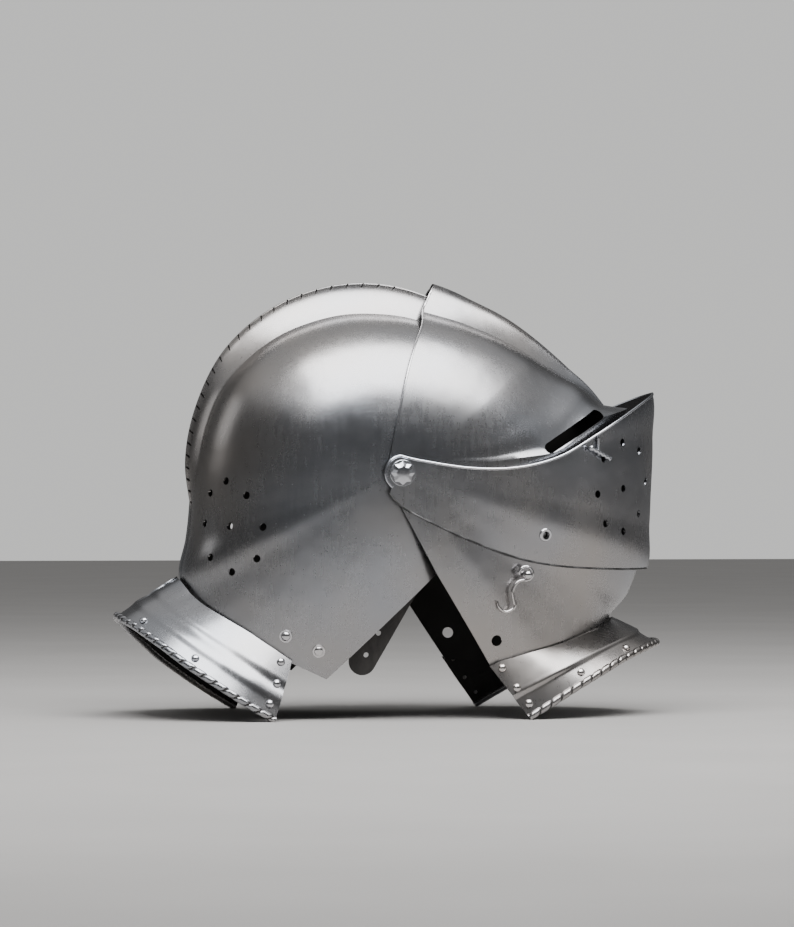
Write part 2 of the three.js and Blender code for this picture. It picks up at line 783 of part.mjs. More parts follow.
// The round end of a plate's arm at the pivot.
function pivotArc(shape, arm) {
  shape.absarc(0, 0, arm.radius, radians(arm.from), radians(arm.to), arm.to < arm.from);
}

function skullShape() {
  const shape = new THREE.Shape();
  shape.moveTo(SKULL_EDGE.brow.x, SKULL_EDGE.brow.z);
  shape.lineTo(SKULL_EDGE.temple.x, SKULL_EDGE.temple.z);
  shape.quadraticCurveTo(
    SKULL_EDGE.faceTop.x,
    SKULL_EDGE.temple.z,
    SKULL_EDGE.faceTop.x,
    SKULL_EDGE.faceTop.z,
  );
  shape.quadraticCurveTo(
    SKULL_EDGE.faceSide.x,
    SKULL_EDGE.faceSide.z,
    SKULL_EDGE.cheekFront.x,
    SKULL_EDGE.cheekFront.z,
  );
  shape.lineTo(SKULL_EDGE.cheekCorner.x, SKULL_EDGE.cheekCorner.z);
  shape.lineTo(SKULL_EDGE.cheekBack.x, SKULL_EDGE.cheekBack.z);
  for (const point of neckOutline(REAR_GORGET)) shape.lineTo(point.x, point.y);
  shape.lineTo(-FAR, NAPE_LEVEL);
  shape.lineTo(-FAR, FAR);
  shape.lineTo(SKULL_EDGE.brow.x, FAR);
  shape.closePath();
  return shape;
}

function visorShape() {
  const shape = new THREE.Shape();
  shape.moveTo(VISOR_REAR_EDGE[0].x, VISOR_REAR_EDGE[0].z);
  for (const row of VISOR_REAR_EDGE.slice(1)) shape.lineTo(row.x, row.z);
  pivotArc(shape, VISOR_ARM);
  for (const row of VISOR_LOWER_EDGE) shape.lineTo(row.x, row.z);
  shape.lineTo(FAR, VISOR_LOWER_EDGE[1].z);
  shape.lineTo(FAR, VISOR_REAR_EDGE[0].z);
  shape.closePath();
  return shape;
}

function slitShape() {
  const back = new THREE.Vector2(SLIT.backX, SLIT.backZ);
  const front = new THREE.Vector2(SLIT.frontX, SLIT.frontZ);
  const lean = Math.atan2(front.y - back.y, front.x - back.x);
  const shape = new THREE.Shape();
  shape.absarc(front.x, front.y, SLIT.halfHeight, lean - Math.PI / 2, lean + Math.PI / 2, false);
  shape.absarc(back.x, back.y, SLIT.halfHeight, lean + Math.PI / 2, lean + 1.5 * Math.PI, false);
  shape.closePath();
  return shape;
}

function upperBevorShape() {
  const shape = new THREE.Shape();
  shape.moveTo(UPPER_BEVOR_TOP[0].x, UPPER_BEVOR_TOP[0].z);
  shape.splineThru(UPPER_BEVOR_TOP.slice(1).map(vector2));
  shape.lineTo(FAR, PEAK_LEVEL);
  shape.lineTo(FAR, UPPER_BEVOR_BOTTOM[0].z);
  shape.lineTo(UPPER_BEVOR_BOTTOM[0].x, UPPER_BEVOR_BOTTOM[0].z);
  shape.splineThru(UPPER_BEVOR_BOTTOM.slice(1).map(vector2));
  pivotArc(shape, UPPER_BEVOR_ARM);
  shape.closePath();
  return shape;
}

function lowerBevorShape() {
  const shape = new THREE.Shape();
  shape.moveTo(LOWER_BEVOR_REAR[0].x, LOWER_BEVOR_REAR[0].z);
  for (const row of LOWER_BEVOR_REAR.slice(1)) shape.lineTo(row.x, row.z);
  const lower = neckOutline(FRONT_GORGET);
  for (const point of lower.slice(1)) shape.lineTo(point.x, point.y);
  shape.lineTo(FAR, lower[lower.length - 1].y);
  shape.lineTo(FAR, LOWER_BEVOR_TOP[0].z);
  for (const row of LOWER_BEVOR_TOP) shape.lineTo(row.x, row.z);
  pivotArc(shape, LOWER_BEVOR_ARM);
  shape.closePath();
  return shape;
}

// A round body turned about +Y from a short profile of radius and height.
function turned(profile, segments = 8) {
  const points = profile.map(([radius, height]) => new THREE.Vector2(radius, height));
  return new THREE.LatheGeometry(points, segments);
}

function makeSkull() {
  let made = plate(SKULL_DOME, SKULL_CREST, skullShape());
  made = drillDome(made, SKULL_DOME, SKULL_BREATHS, BREATH_RADIUS);
  made = drillDome(made, SKULL_DOME, [CHEEK_RIVET, CLOSING_STUD], RIVET.shank + CLEARANCE);
  made = drillPivots(made, BOLT.shank + CLEARANCE);
  for (const { side } of SIDES) {
    const strap = strapFrame(side);
    made = made.subtract(drill(strap.rivet, strap.normal, RIVET.shank + CLEARANCE));
  }
  addPiece("skull", geometryOf(made), FINISH.plate());
}

function makeVisor() {
  let made = plate(VISOR_DOME, VISOR_CREST, visorShape());
  made = made.subtract(sideBlock(slitShape()));
  made = drillPivots(made, BOLT.shank + CLEARANCE);
  addPiece("visor", geometryOf(made), FINISH.plate());
}

function makeUpperBevor() {
  let made = plate(UPPER_BEVOR_DOME, null, upperBevorShape());
  made = drillDome(made, UPPER_BEVOR_DOME, BEVOR_BREATHS, BREATH_RADIUS);
  const { point, normal } = onDome(UPPER_BEVOR_DOME, EYELET.x, EYELET.z, RIGHT);
  made = made.subtract(drill(point, normal, EYELET.inner));
  made = drillPivots(made, BOLT.shank + CLEARANCE);
  addPiece("upper_bevor", geometryOf(made), FINISH.plate());
}

function makeLowerBevor() {
  const hole = sidePoint(CLOSING_HOLE.angle, CLOSING_HOLE.radius);
  let made = plate(LOWER_BEVOR_DOME, null, lowerBevorShape());
  made = drillDome(made, LOWER_BEVOR_DOME, [hole], CLOSING_HOLE.bore);
  made = drillPivots(made, BOLT.shank + CLEARANCE);
  addPiece("lower_bevor", geometryOf(made), FINISH.plate());
}

// A gorget plate with its rivets, five a side.
function makeGorget(name, table, dome, places, space) {
  const stations = gorgetStations(table, dome);
  let made = gorgetPlate(table, dome, space);
  for (const { name: sideName, side } of SIDES) {
    places.forEach((place, i) => {
      const at = side * place.station;
      const normal = gorgetNormal(stations, at, place.share);
      const rise = lookup(GORGET_RIDGES, "share", "rise")(place.share);
      const point = stations(at, place.share, GORGET_LIFT + PLATE);
      point.addScaledVector(normal, rise);
      made = made.subtract(drill(point, normal, RIVET.shank + CLEARANCE, RIVET_DRILL_REACH));
      const geometry = placeAlong(rivetGeometry(PLATE), point, normal);
      addPiece(`${name}_rivet_${sideName}_${i + 1}`, geometry, FINISH.bright());
    });
  }
  addPiece(name, geometryOf(made), FINISH.plate());
}

// A rivet through a plate of some thickness, flush inside, with its head outside.
function rivetGeometry(thickness) {
  const { head, rise, shank } = RIVET;
  return turned(
    [
      [0, -thickness],
      [shank, -thickness],
      [shank, CURVED_CLEARANCE],
      [head, CURVED_CLEARANCE],
      [SHOULDER.radius * head, CURVED_CLEARANCE + SHOULDER.rise * rise],
      [0, CURVED_CLEARANCE + rise],
    ],
    RIVET.sides,
  );
}

// A domed rivet or stud on its washer, through the skull's cheek.
function makeCheekStuds(name, sizes) {
  for (const { name: sideName, side } of SIDES) {
    const { point, normal } = onDome(SKULL_DOME, sizes.x, sizes.z, side);
    const base = CURVED_CLEARANCE;
    const top = base + sizes.washerHeight;
    const geometry = turned(
      [
        [0, -PLATE],
        [RIVET.shank, -PLATE],
        [RIVET.shank, base],
        [sizes.washer, base],
        [sizes.washer, top],
        [sizes.head, top],
        [SHOULDER.radius * sizes.head, top + SHOULDER.rise * sizes.rise],
        [0, top + sizes.rise],
      ],
      STUD_SIDES,
    );
    addPiece(`${name}_${sideName}`, placeAlong(geometry, point, normal), FINISH.bright());
  }
}

// A pivot bolt: a low pyramid head outside all the plates, a shank through them and a nut inside.
function makePivotBolts() {
  const outside = UPPER_BEVOR_DOME.halfWidth + CLEARANCE;
  const inside = SKULL_DOME.halfWidth - PLATE - 2 * CLEARANCE;
  for (const { name, side } of SIDES) {
    const geometry = turned(
      [
        [0, inside - BOLT.nutHeight],
        [BOLT.nut, inside - BOLT.nutHeight],
        [BOLT.nut, inside],
        [BOLT.shank, inside],
        [BOLT.shank, outside],
        [BOLT.head, outside],
        [BOLT.head, outside + BOLT.base],
        [0, outside + BOLT.rise],
      ],
      BOLT.facets,
    );
    if (side === RIGHT) geometry.rotateX(Math.PI);
    addPiece(`pivot_bolt_${name}`, geometry, FINISH.bright());
  }
}

// The S-shaped hook of round wire: an eye round its rivet, a shank and a hooked end.
function makeHook() {
  const surface = halfWidthAt(LOWER_BEVOR_DOME, HOOK.x, HOOK.z);
  const level = RIGHT * (surface + HOOK.standOff);
  const points = [];
  for (let i = 0; i <= HOOK_EYE.steps; i += 1) {
    const share = i / HOOK_EYE.steps;
    const turn = radians(THREE.MathUtils.lerp(HOOK_EYE.from, HOOK_EYE.to, share));
    points.push({
      x: HOOK_EYE.x + HOOK_EYE.radius * Math.cos(turn),
      z: HOOK_EYE.z + HOOK_EYE.radius * Math.sin(turn),
    });
  }
  const path = [...points, ...HOOK_SHANK].map(
    (p) => new THREE.Vector3(HOOK.x + p.x, level, HOOK.z + p.z),
  );
  const section = new THREE.Shape();
  for (let i = 0; i < HOOK_SIDES; i += 1) {
    const turn = (i / HOOK_SIDES) * 2 * Math.PI;
    const corner = [HOOK.wire * Math.cos(turn), HOOK.wire * Math.sin(turn)];
    if (i === 0) section.moveTo(...corner);
    else section.lineTo(...corner);
  }
  section.closePath();
  const geometry = new THREE.ExtrudeGeometry(section, {
    steps: HOOK_STEPS,
    extrudePath: new THREE.CatmullRomCurve3(path),
  });
  addPiece("hook", geometry, FINISH.bright());

  const { foot, footClearance, footHeight, post, head, rise } = HOOK_RIVET;
  const under = HOOK.standOff + HOOK.wire + CLEARANCE;
  const rivet = turned([
    [0, footClearance],
    [foot, footClearance],
    [foot, footHeight],
    [post, footHeight],
    [post, under],
    [head, under],
    [SHOULDER.radius * head, under + SHOULDER.rise * rise],
    [0, under + rise],
  ]);
  rivet.translate(0, surface, 0);
  rivet.rotateX(Math.PI);
  rivet.translate(HOOK.x, 0, HOOK.z);
  addPiece("hook_rivet", rivet, FINISH.bright());
}

// The ring on the upper bevor that the hook fastens to.
function makeEyelet() {
  const { point, normal } = onDome(UPPER_BEVOR_DOME, EYELET.x, EYELET.z, RIGHT);
  const low = CLEARANCE;
  const geometry = turned(
    [
      [EYELET.inner, low],
      [EYELET.outer, low],
      [EYELET.outer - EYELET.slope, low + EYELET.rise],
      [EYELET.inner + 0.5 * EYELET.slope, low + EYELET.rise],
      [EYELET.inner, low],
    ],
    EYELET.sides,
  );
  addPiece("eyelet", placeAlong(geometry, point, normal), FINISH.bright());
}

// The peg at the top edge of the upper bevor: a flat stem and a bar across its foot with a ball.
function makePropPeg() {
  const x = PEG.stemX;
  const at = (z) => onDome(UPPER_BEVOR_DOME, x, z, RIGHT).point;
  const top = at(PEG.stemTop);
  const foot = at(PEG.stemFoot);
  const { normal } = onDome(UPPER_BEVOR_DOME, x, 0.5 * (PEG.stemTop + PEG.stemFoot), RIGHT);
  const along = top.clone().sub(foot);
  const out = CLEARANCE + 0.5 * PEG.stemThick + PEG.standOff;
  const stem = new THREE.BoxGeometry(PEG.stemWidth, along.length(), PEG.stemThick);
  const up = along.clone().normalize();
  const across = up.clone().cross(normal).normalize();
  const basis = new THREE.Matrix4().makeBasis(across, up, across.clone().cross(up));
  stem.applyMatrix4(basis);
  const middle = top.clone().add(foot).multiplyScalar(0.5).addScaledVector(normal, out);
  stem.translate(middle.x, middle.y, middle.z);

  const tilt = radians(PEG.barRise);
  const surface = onDome(UPPER_BEVOR_DOME, x + PEG.barShift, PEG.stemFoot, RIGHT);
  const flat = new THREE.Vector3(Math.cos(tilt), 0, -Math.sin(tilt));
  const lean = flat.addScaledVector(surface.normal, -flat.dot(surface.normal)).normalize();
  const centre = surface.point.clone().addScaledVector(surface.normal, out + PEG.barRadius);
  const bar = new THREE.CylinderGeometry(PEG.barRadius, PEG.barRadius, PEG.barLength, PEG.sides);
  placeAlong(bar, centre, lean);
  const ball = new THREE.SphereGeometry(PEG.ball, PEG.sides, PEG.sides - 2);
  const end = centre.clone().addScaledVector(lean, -0.5 * PEG.barLength - PEG.ballGap);
  ball.translate(end.x, end.y, end.z);
  const made = solid(stem).add(solid(bar)).add(solid(ball));
  addPiece("prop_peg", geometryOf(made), FINISH.bright());
}

// Where a chin strap hangs: its own axes, from the rivet at its top to its end.
function strapFrame(side) {
  const top = new THREE.Vector3(STRAP.topX, side * STRAP.topY, STRAP.topZ);
  const end = new THREE.Vector3(STRAP.endX, side * STRAP.endY, STRAP.endZ);
  const along = end.clone().sub(top);
  const length = along.length();
  along.normalize();
  const out = new THREE.Vector3(0, side, 0);
  const normal = out.addScaledVector(along, -out.dot(along)).normalize();
  const across = normal.clone().cross(along);
  const rivet = top.clone().addScaledVector(along, STRAP.rivetInset);
  return { top, along, normal, across, length, rivet };
}

function makeChinStraps() {
  for (const { name, side } of SIDES) {
    const frame = strapFrame(side);
    const long = side === RIGHT;
    const length = long ? frame.length : SHORT_STRAP_LENGTH;
    const half = STRAP.width / 2;
    const shape = new THREE.Shape();
    shape.moveTo(0, -half);
    shape.lineTo(length - half, -half);
    if (long) {
      shape.absarc(length - half, 0, half, -Math.PI / 2, Math.PI / 2, false);
    } else {
      shape.lineTo(length, -half);
      shape.lineTo(length, half);
    }
    shape.lineTo(0, half);
    shape.closePath();
    const holes = long
      ? [length - STRAP.firstHole + STRAP.holePitch, length - STRAP.firstHole]
      : [];
    for (const at of holes) {
      const hole = new THREE.Path();
      hole.absarc(at, 0, STRAP.hole, 0, 2 * Math.PI, true);
      shape.holes.push(hole);
    }
    const geometry = new THREE.ExtrudeGeometry(shape, {
      depth: STRAP.thick,
      bevelEnabled: false,
      curveSegments: 6,
    });
    geometry.translate(0, 0, -STRAP.thick / 2);
    geometry.applyMatrix4(
      new THREE.Matrix4().makeBasis(frame.along, frame.across, frame.normal),
    );
    geometry.translate(frame.top.x, frame.top.y, frame.top.z);
    const bored = solid(geometry).subtract(
      drill(frame.rivet, frame.normal, RIVET.shank + CLEARANCE),
    );
    addPiece(`chin_strap_${name}`, geometryOf(bored), FINISH.leather());
    makeStrapRivet(name, frame, side);
    if (!long) makeBuckle(frame, length);
  }
}

// The rivet that holds a strap inside the cheek, flush outside, where the bevor hides it.
function makeStrapRivet(name, frame, side) {
  const wall = onDome(SKULL_DOME, frame.rivet.x, frame.rivet.z, side).point;
  const reach = Math.abs(wall.y) - Math.abs(frame.rivet.y) - STRAP_RIVET.gap;
  const inside = -STRAP.thick / 2 - CLEARANCE;
  const geometry = turned([
    [0, inside - STRAP_RIVET.rise],
    [STRAP_RIVET.head, inside - STRAP_RIVET.edge],
    [STRAP_RIVET.head, inside],
    [RIVET.shank, inside],
    [RIVET.shank, reach],
    [0, reach],
  ]);
  addPiece(
    `strap_rivet_${name}`,
    placeAlong(geometry, frame.rivet, frame.normal),
    FINISH.bright(),
  );
}

// A plain square buckle past the end of the short strap.
function makeBuckle(frame, length) {
  const shape = new THREE.Shape();
  const [w, h] = [BUCKLE.width / 2, BUCKLE.height];
  shape.moveTo(0, -w);
  shape.lineTo(h, -w);
  shape.lineTo(h, w);
  shape.lineTo(0, w);
  shape.closePath();
  const hole = new THREE.Path();
  hole.moveTo(BUCKLE.bar, -w + BUCKLE.bar);
  hole.lineTo(BUCKLE.bar, w - BUCKLE.bar);
  hole.lineTo(h - BUCKLE.bar, w - BUCKLE.bar);
  hole.lineTo(h - BUCKLE.bar, -w + BUCKLE.bar);
  hole.closePath();
  shape.holes.push(hole);
  const geometry = new THREE.ExtrudeGeometry(shape, { depth: BUCKLE.bar, bevelEnabled: false });
  geometry.translate(length + CLEARANCE, 0, -BUCKLE.bar / 2);
  geometry.applyMatrix4(new THREE.Matrix4().makeBasis(frame.along, frame.across, frame.normal));
  geometry.translate(frame.top.x, frame.top.y, frame.top.z);
  addPiece("strap_buckle", geometryOf(solid(geometry)), FINISH.bright());
}

makeSkull();
makeVisor();
makeUpperBevor();
makeLowerBevor();
makeGorget("rear_gorget", REAR_GORGET, SKULL_DOME, REAR_RIVETS, gorgetSpace(0, false));
makeGorget(
  "front_gorget",
  FRONT_GORGET,
  LOWER_BEVOR_DOME,
  FRONT_RIVETS,
  gorgetSpace(-OPEN_DEGREES, true),
);
makeCheekStuds("cheek_rivet", CHEEK_RIVET);
makeCheekStuds("closing_stud", CLOSING_STUD);
makePivotBolts();
makeHook();
makeEyelet();
makePropPeg();
makeChinStraps();

export default helmet;
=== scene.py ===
import math
from collections import namedtuple

import bmesh
import bpy
from bpy.props import FloatProperty, FloatVectorProperty, IntProperty, PointerProperty
from mathutils import Matrix, Vector


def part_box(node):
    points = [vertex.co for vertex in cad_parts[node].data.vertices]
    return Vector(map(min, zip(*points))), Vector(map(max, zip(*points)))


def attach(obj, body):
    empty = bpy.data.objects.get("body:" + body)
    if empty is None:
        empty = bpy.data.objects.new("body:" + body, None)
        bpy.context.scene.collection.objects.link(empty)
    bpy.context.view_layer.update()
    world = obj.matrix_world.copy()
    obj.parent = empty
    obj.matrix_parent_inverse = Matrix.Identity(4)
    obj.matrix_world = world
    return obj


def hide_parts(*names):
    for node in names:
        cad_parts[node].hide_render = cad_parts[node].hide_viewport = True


bl_info = {
    "name": "Close Helmet",
    "version": (1, 0, 0),
    "blender": (4, 5, 0),
    "location": "View3D > Sidebar > Helmet",
    "description": "Builds a polished close helmet that stands open on its gorget plates",
    "category": "Object",
}

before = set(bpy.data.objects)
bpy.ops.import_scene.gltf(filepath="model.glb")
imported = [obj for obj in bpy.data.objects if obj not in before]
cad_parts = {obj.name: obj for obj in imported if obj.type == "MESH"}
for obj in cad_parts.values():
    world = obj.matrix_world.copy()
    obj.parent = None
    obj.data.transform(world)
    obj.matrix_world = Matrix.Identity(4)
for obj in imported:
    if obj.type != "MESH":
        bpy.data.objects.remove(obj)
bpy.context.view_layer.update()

MM = 0.001
RIGHT = -1
LEFT = 1
SIDES = {"right": RIGHT, "left": LEFT}

# The pivot axis, half way up the pivot bolts' heads
BOLT_LOW, BOLT_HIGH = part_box("pivot_bolt_right")
PIVOT = Vector(((BOLT_LOW.x + BOLT_HIGH.x) / 2, 0, (BOLT_LOW.z + BOLT_HIGH.z) / 2))

# Lengths below are in millimetres from the pivot, x to the front and z up. Angles are in degrees
# from straight up, positive towards the front.
PLATE = 1.5
OPEN_DEGREES = 55.3
FOOT_LEVEL = -PIVOT.z / MM

Reach = namedtuple("Reach", "angle reach")
Crest = namedtuple("Crest", "angle reach foot edge")
Point = namedtuple("Point", "x z")
Station = namedtuple("Station", "neck_angle neck_radius rim_x rim_y rim_z")
Arm = namedtuple("Arm", "radius start end steps")
Place = namedtuple("Place", "station share")
Ridge = namedtuple("Ridge", "share height")
Head = namedtuple("Head", "radius rise washer")
Ring = namedtuple("Ring", "radius height")
Taper = namedtuple("Taper", "share radius")
Hang = namedtuple("Hang", "length rivet normal matrix")


def rows_of(kind, *values):
    """A table whose columns are those of a named tuple."""
    return [kind(*value) for value in values]


SKULL_ROWS = rows_of(
    Reach,
    (-175, 224), (-163, 242), (-155, 243), (-146, 226), (-138, 204), (-130, 183), (-122, 166.5),
    (-116, 158.5), (-109, 145.5), (-101.7, 138.2), (-93.6, 134), (-82, 131), (-64, 130),
    (-48.5, 126), (-35, 122.5), (-24.6, 119.5), (-12.4, 117), (0, 114.8), (13.7, 114),
    (40, 112), (70, 110.5), (100, 113), (130, 128), (158, 160), (172, 205),
)
VISOR_ROWS = rows_of(
    Reach,
    (-100, 121), (0, 121), (16, 121.3), (30, 125), (41.5, 131.3), (51, 139), (61, 151),
    (67, 161.5), (73.3, 173), (75.3, 189), (90, 187), (120, 186),
)
LOWER_BEVOR_ROWS = rows_of(
    Reach,
    (-160, 262), (-140, 215), (-90, 200), (60, 200), (95, 200), (105, 202.3), (110, 204),
    (115, 204.3), (120.7, 200), (127, 207), (135, 226), (144, 254), (155, 262),
)
UPPER_BEVOR_ROWS = rows_of(
    Reach,
    (-120, 212), (60, 212), (73.8, 212.2), (83, 205.3), (93, 202.9), (100.2, 204.7),
    (108.8, 211.3), (116, 208), (125, 209), (135, 220), (150, 240),
)
SKULL_CREST = rows_of(
    Crest,
    (-103, 136.6, 14, 2.4),
    (-95.1, 137.5, 14, 2.4),
    (-87.1, 139.1, 14, 2.4),
    (-68.5, 140, 14, 2.4),
    (-49.9, 142, 14, 2.4),
    (-31.5, 141.2, 14, 2.4),
    (-13.5, 139.2, 14, 2.4),
    (1.7, 136.6, 14, 2.3),
    (13.1, 134.1, 13, 2.1),
    (30, 130, 12, 1.9),
    (48, 122, 11, 1.7),
    (66, 110, 10, 1.6),
)
VISOR_CREST = rows_of(
    Crest,
    (8, 143.3, 17, 4.3),
    (26.8, 143.4, 16, 3.9),
    (42.1, 148.6, 14, 3),
    (51.7, 153.4, 12, 2.4),
    (61.3, 160.8, 10, 2.1),
    (67.3, 168.3, 8, 2),
    (73.3, 175, 6, 2),
    (76, 178, 5, 2),
)
CREST_FLARE = 1.6
CREST_SHARE = 0.7
CREST_FLANK = 0.86
CREST_ROUND = 0.5
CREST_HOLLOW = 0.6

# The slanted cuts along the comb: where they run, their lean, and the wedge that makes them
NOTCH_START = 5.5
NOTCH_SWEEP = 104
NOTCH_CROWDING = 0.05
NOTCH_LEAN = 0.6
NOTCH_TIP = 0.4
NOTCH_MOUTH = 1.5
NOTCH_LENGTH = 5
NOTCH_FLATTEN = 2
NOTCH_OUT = 1
NOTCH_IN = 1.6

# The beads along two edges: how far they rise over the middle, and the length of a step
BEAD_OVER = 0.6
BEAD_STEP = 1.6
BEAD_INSET = 0.4
THIN_BEAD = 0.8
VISOR_BEAD_START = 5

# The ledge below the sight slits bends away from a radius, most of all near the pivot
LEDGE_TOP = 73.3
LEDGE_FOOT = 75.3
LEDGE_BEND = 7.5
LEDGE_SPREAD = 22
LEDGE_START = 20
LEDGE_FULL = 70
LEDGE_NEAR = 108
LEDGE_FAR = 158

# Outlines in the side view
SKULL_FRONT = Point(135, -24)
SKULL_BROW = [Point(72, -15), Point(58, -17), Point(49, -26), Point(46.5, -38)]
SKULL_CHEEK = [Point(46.5, -38), Point(43, -53), Point(36, -62.5), Point(27, -70.3)]
SKULL_FOOT = [Point(-49.6, -144.1), Point(-74.7, -132.5)]
SKULL_NAPE = -80
VISOR_REAR_EDGE = rows_of(
    Point,
    (52, 165), (41.2, 137.2), (26.2, 109.8), (13.3, 86.9), (4.3, 62.4), (-3.2, 33.5),
    (-7.6, 12.6),
)
VISOR_LOWER_EDGE = [Point(60, -12), Point(186, -33)]
VISOR_ARM = Arm(12, 140, 312, 24)
SLIT_BACK = Point(110, 18)
SLIT_FRONT = Point(150.5, 42)
SLIT_HALF_HEIGHT = 3.9
UPPER_BEVOR_TOP = rows_of(
    Point,
    (0.3, 11.8), (15.1, 8.6), (49.4, 3.8), (83.2, 4.4), (115.2, 12.2), (146.8, 28.7),
    (183.7, 49.5), (203.8, 59.3),
)
UPPER_BEVOR_PEAK = 77
UPPER_BEVOR_BOTTOM = rows_of(
    Point,
    (200, -68.2), (164.1, -68), (116.7, -65.3), (84, -59.4), (49.7, -47.4), (24.5, -36.5),
    (1, -24.3), (-9, -14),
)
UPPER_BEVOR_ARM = Arm(12.3, 232, 96, 20)
UPPER_BEVOR_BEAD = Arm(12, 236, 96, 20)
LOWER_BEVOR_REAR = [Point(-9, -9), Point(0, -24.3), Point(25.3, -70.4), Point(66.8, -136.8)]
LOWER_BEVOR_TOP = [Point(200, -45), Point(110, -42), Point(60, -32), Point(9, 8)]
LOWER_BEVOR_ARM = Arm(12.5, 42, 220, 20)
NECK_OVERLAP = 9
NECK_OUT = 0.75
NECK_DOWN = 0.4
FAR = 240
PAST_SIDE = 130

# Gorget plates: a row is a station from the middle to the end
REAR_GORGET = rows_of(
    Station,
    (-116.8, 162.5, -187.5, 0, -101),
    (-118.6, 162.8, -185.8, 18, -103),
    (-121, 162.8, -180, 36, -107),
    (-123.8, 161.7, -172, 53, -113.5),
    (-127.6, 158.6, -162, 67.5, -121.5),
    (-131.5, 155.3, -150, 79.5, -131.5),
    (-138.4, 151.2, -131, 91, -145),
    (-145.8, 150.1, -110.5, 97, -158.5),
    (-150.4, 150.7, -90.5, 98, -170.5),
    (-153, 151.5, -82, 98, -175.5),
)
FRONT_GORGET = rows_of(
    Station,
    (120.7, 202, 205.5, 0, -121.5),
    (122.6, 198.5, 202, 20, -121.6),
    (124.8, 193.1, 194.5, 37, -122.5),
    (128.3, 183.4, 182, 55, -125.5),
    (132, 175.7, 165, 71, -131.5),
    (136.9, 166.7, 146, 83.5, -140.5),
    (141.8, 159.3, 126, 91.5, -151),
    (146.8, 153.9, 107, 96, -162),
    (152.1, 150, 89, 98, -172.4),
    (155, 150, 81, 98, -176.5),
)
LAST_NORMAL = 0.98
NORMAL_STEP = 0.012
GORGET_BLEND = 0.04
GORGET_KEEL = 0.02
GORGET_LIFT = 0.9
GORGET_STATIONS = 180
GORGET_SHARES = 40
RIM_POINTS = 80
ROPE_STEPS = 700
ROPE_SIDES = 28
ROPE_GROOVE = 0.22
ROPE_BACK = -0.7
ROPE_FACE = 0.1
ROPE_EDGE = 1.3
GORGET_END_TOP = Reach(-150.4, 150.7)
GORGET_END_FOOT = Reach(-152.8, 193.9)

# Soft ridges along a gorget plate, by the share of the way to the rim
REAR_RIDGES = rows_of(
    Ridge,
    (0, 0), (0.3, 0.8), (0.36, 0.95), (0.47, 0.3), (0.6, 1.1), (0.66, 1.25), (0.78, 0.3), (1, 0),
)
FRONT_RIDGES = rows_of(Ridge, (0, 0), (0.5, 1.5), (0.57, 1.7), (0.66, 0.2), (1, 0))
REAR_RIVETS = rows_of(
    Place,
    (0.233, 0.84), (0.575, 0.84), (0.822, 0.12), (0.85, 0.46), (0.855, 0.81),
)
FRONT_RIVETS = rows_of(
    Place,
    (0.363, 0.8), (0.602, 0.79), (0.875, 0.12), (0.857, 0.5), (0.842, 0.81),
)

SKULL_BREATHS = rows_of(
    Point,
    (-115.1, -37), (-116.9, -5.4), (-104.4, -15.5), (-94.1, -37.6), (-98.2, -59.7),
    (-114.2, -69.1), (-127.4, -59), (-129.5, -35.2), (-126.1, -13.8),
)
BEVOR_BREATHS = rows_of(
    Point,
    (168.9, -10.6), (167.7, 22.4), (183.9, 16.7), (191.7, -5.3), (184.5, -28.6), (169.1, -41.1),
    (153, -35.5), (146.2, -14.6), (151.2, 10.5),
)
CHEEK_RIVET = Point(-78.6, -113.8)
CLOSING_STUD = Point(-55.9, -124.3)
CLOSING_HOLE = Reach(149.3, 136.6)
CLOSING_HOLE_RADIUS = 3.9
PIVOT_HOLE = 3.8
EYELET = Point(104.5, -43.3)
EYELET_HOLE = 2.5

# Rivets. A head's washer is its radius, or None.
GORGET_HEAD = Head(2.9, 2, None)
CHEEK_HEAD = Head(3.4, 2.3, 4.6)
STUD_HEAD = Head(3.2, 1.2, 4.6)
WASHER = 0.5
UNDER_HEAD = 0.35
RIVET_SHANK = 1.4
RIVET_HOLE = 1.6
CLEARANCE = 0.3

# The pivot bolts: a nut inside, a shank, a round head and a star of facets on it
NUT = rows_of(Ring, (0, -3), (6.6, -3), (6.9, -2.7), (6.9, 0))
BOLT_SHANK = 3.5
BOLT_HEAD = rows_of(Ring, (8.8, 0), (9.15, 0.3), (9.15, 0.9), (8.9, 1.15), (0, 1.15))
STAR = rows_of(Ring, (0, 0.9), (8.3, 0.9), (8.3, 1.3), (5, 3.3), (0, 4))
STAR_POINTS = 8
STAR_PINCH = 0.82

HOOK = Point(90.8, -71.4)
HOOK_STAND_OFF = 7.6
HOOK_EYE = Point(-1.4, 1.1)
HOOK_EYE_ARC = Arm(4.8, 190, -80, 9)
HOOK_SHANK = rows_of(
    Point,
    (-4.6, -3.8), (-7.4, -5.2), (-9.6, -7.6), (-10.8, -10.4), (-10.9, -13.2), (-10.1, -17.4),
    (-9.2, -20.9), (-10, -23), (-12.2, -24.8), (-15, -25.8), (-17.8, -25), (-20.2, -22.9),
    (-21.4, -20.2), (-21.8, -18),
)
HOOK_RIVET = Head(2.9, 2.1, None)
HOOK_RIVET_GAP = 1.45
HOOK_RIVET_FOOT = rows_of(Ring, (0, 0.7), (2.9, 0.7), (2.95, 1), (2.6, 4.2), (1.4, 4.6))
EYELET_RING = rows_of(
    Ring,
    (2.6, 0.3), (4.6, 0.3), (4.75, 0.6), (4.3, 1.05), (3.4, 1.2), (2.7, 0.95),
)
HOOK_TAPER = rows_of(Taper, (0, 0.7), (0.04, 1.05), (0.1, 1.15), (0.9, 1.12), (1, 0.55))

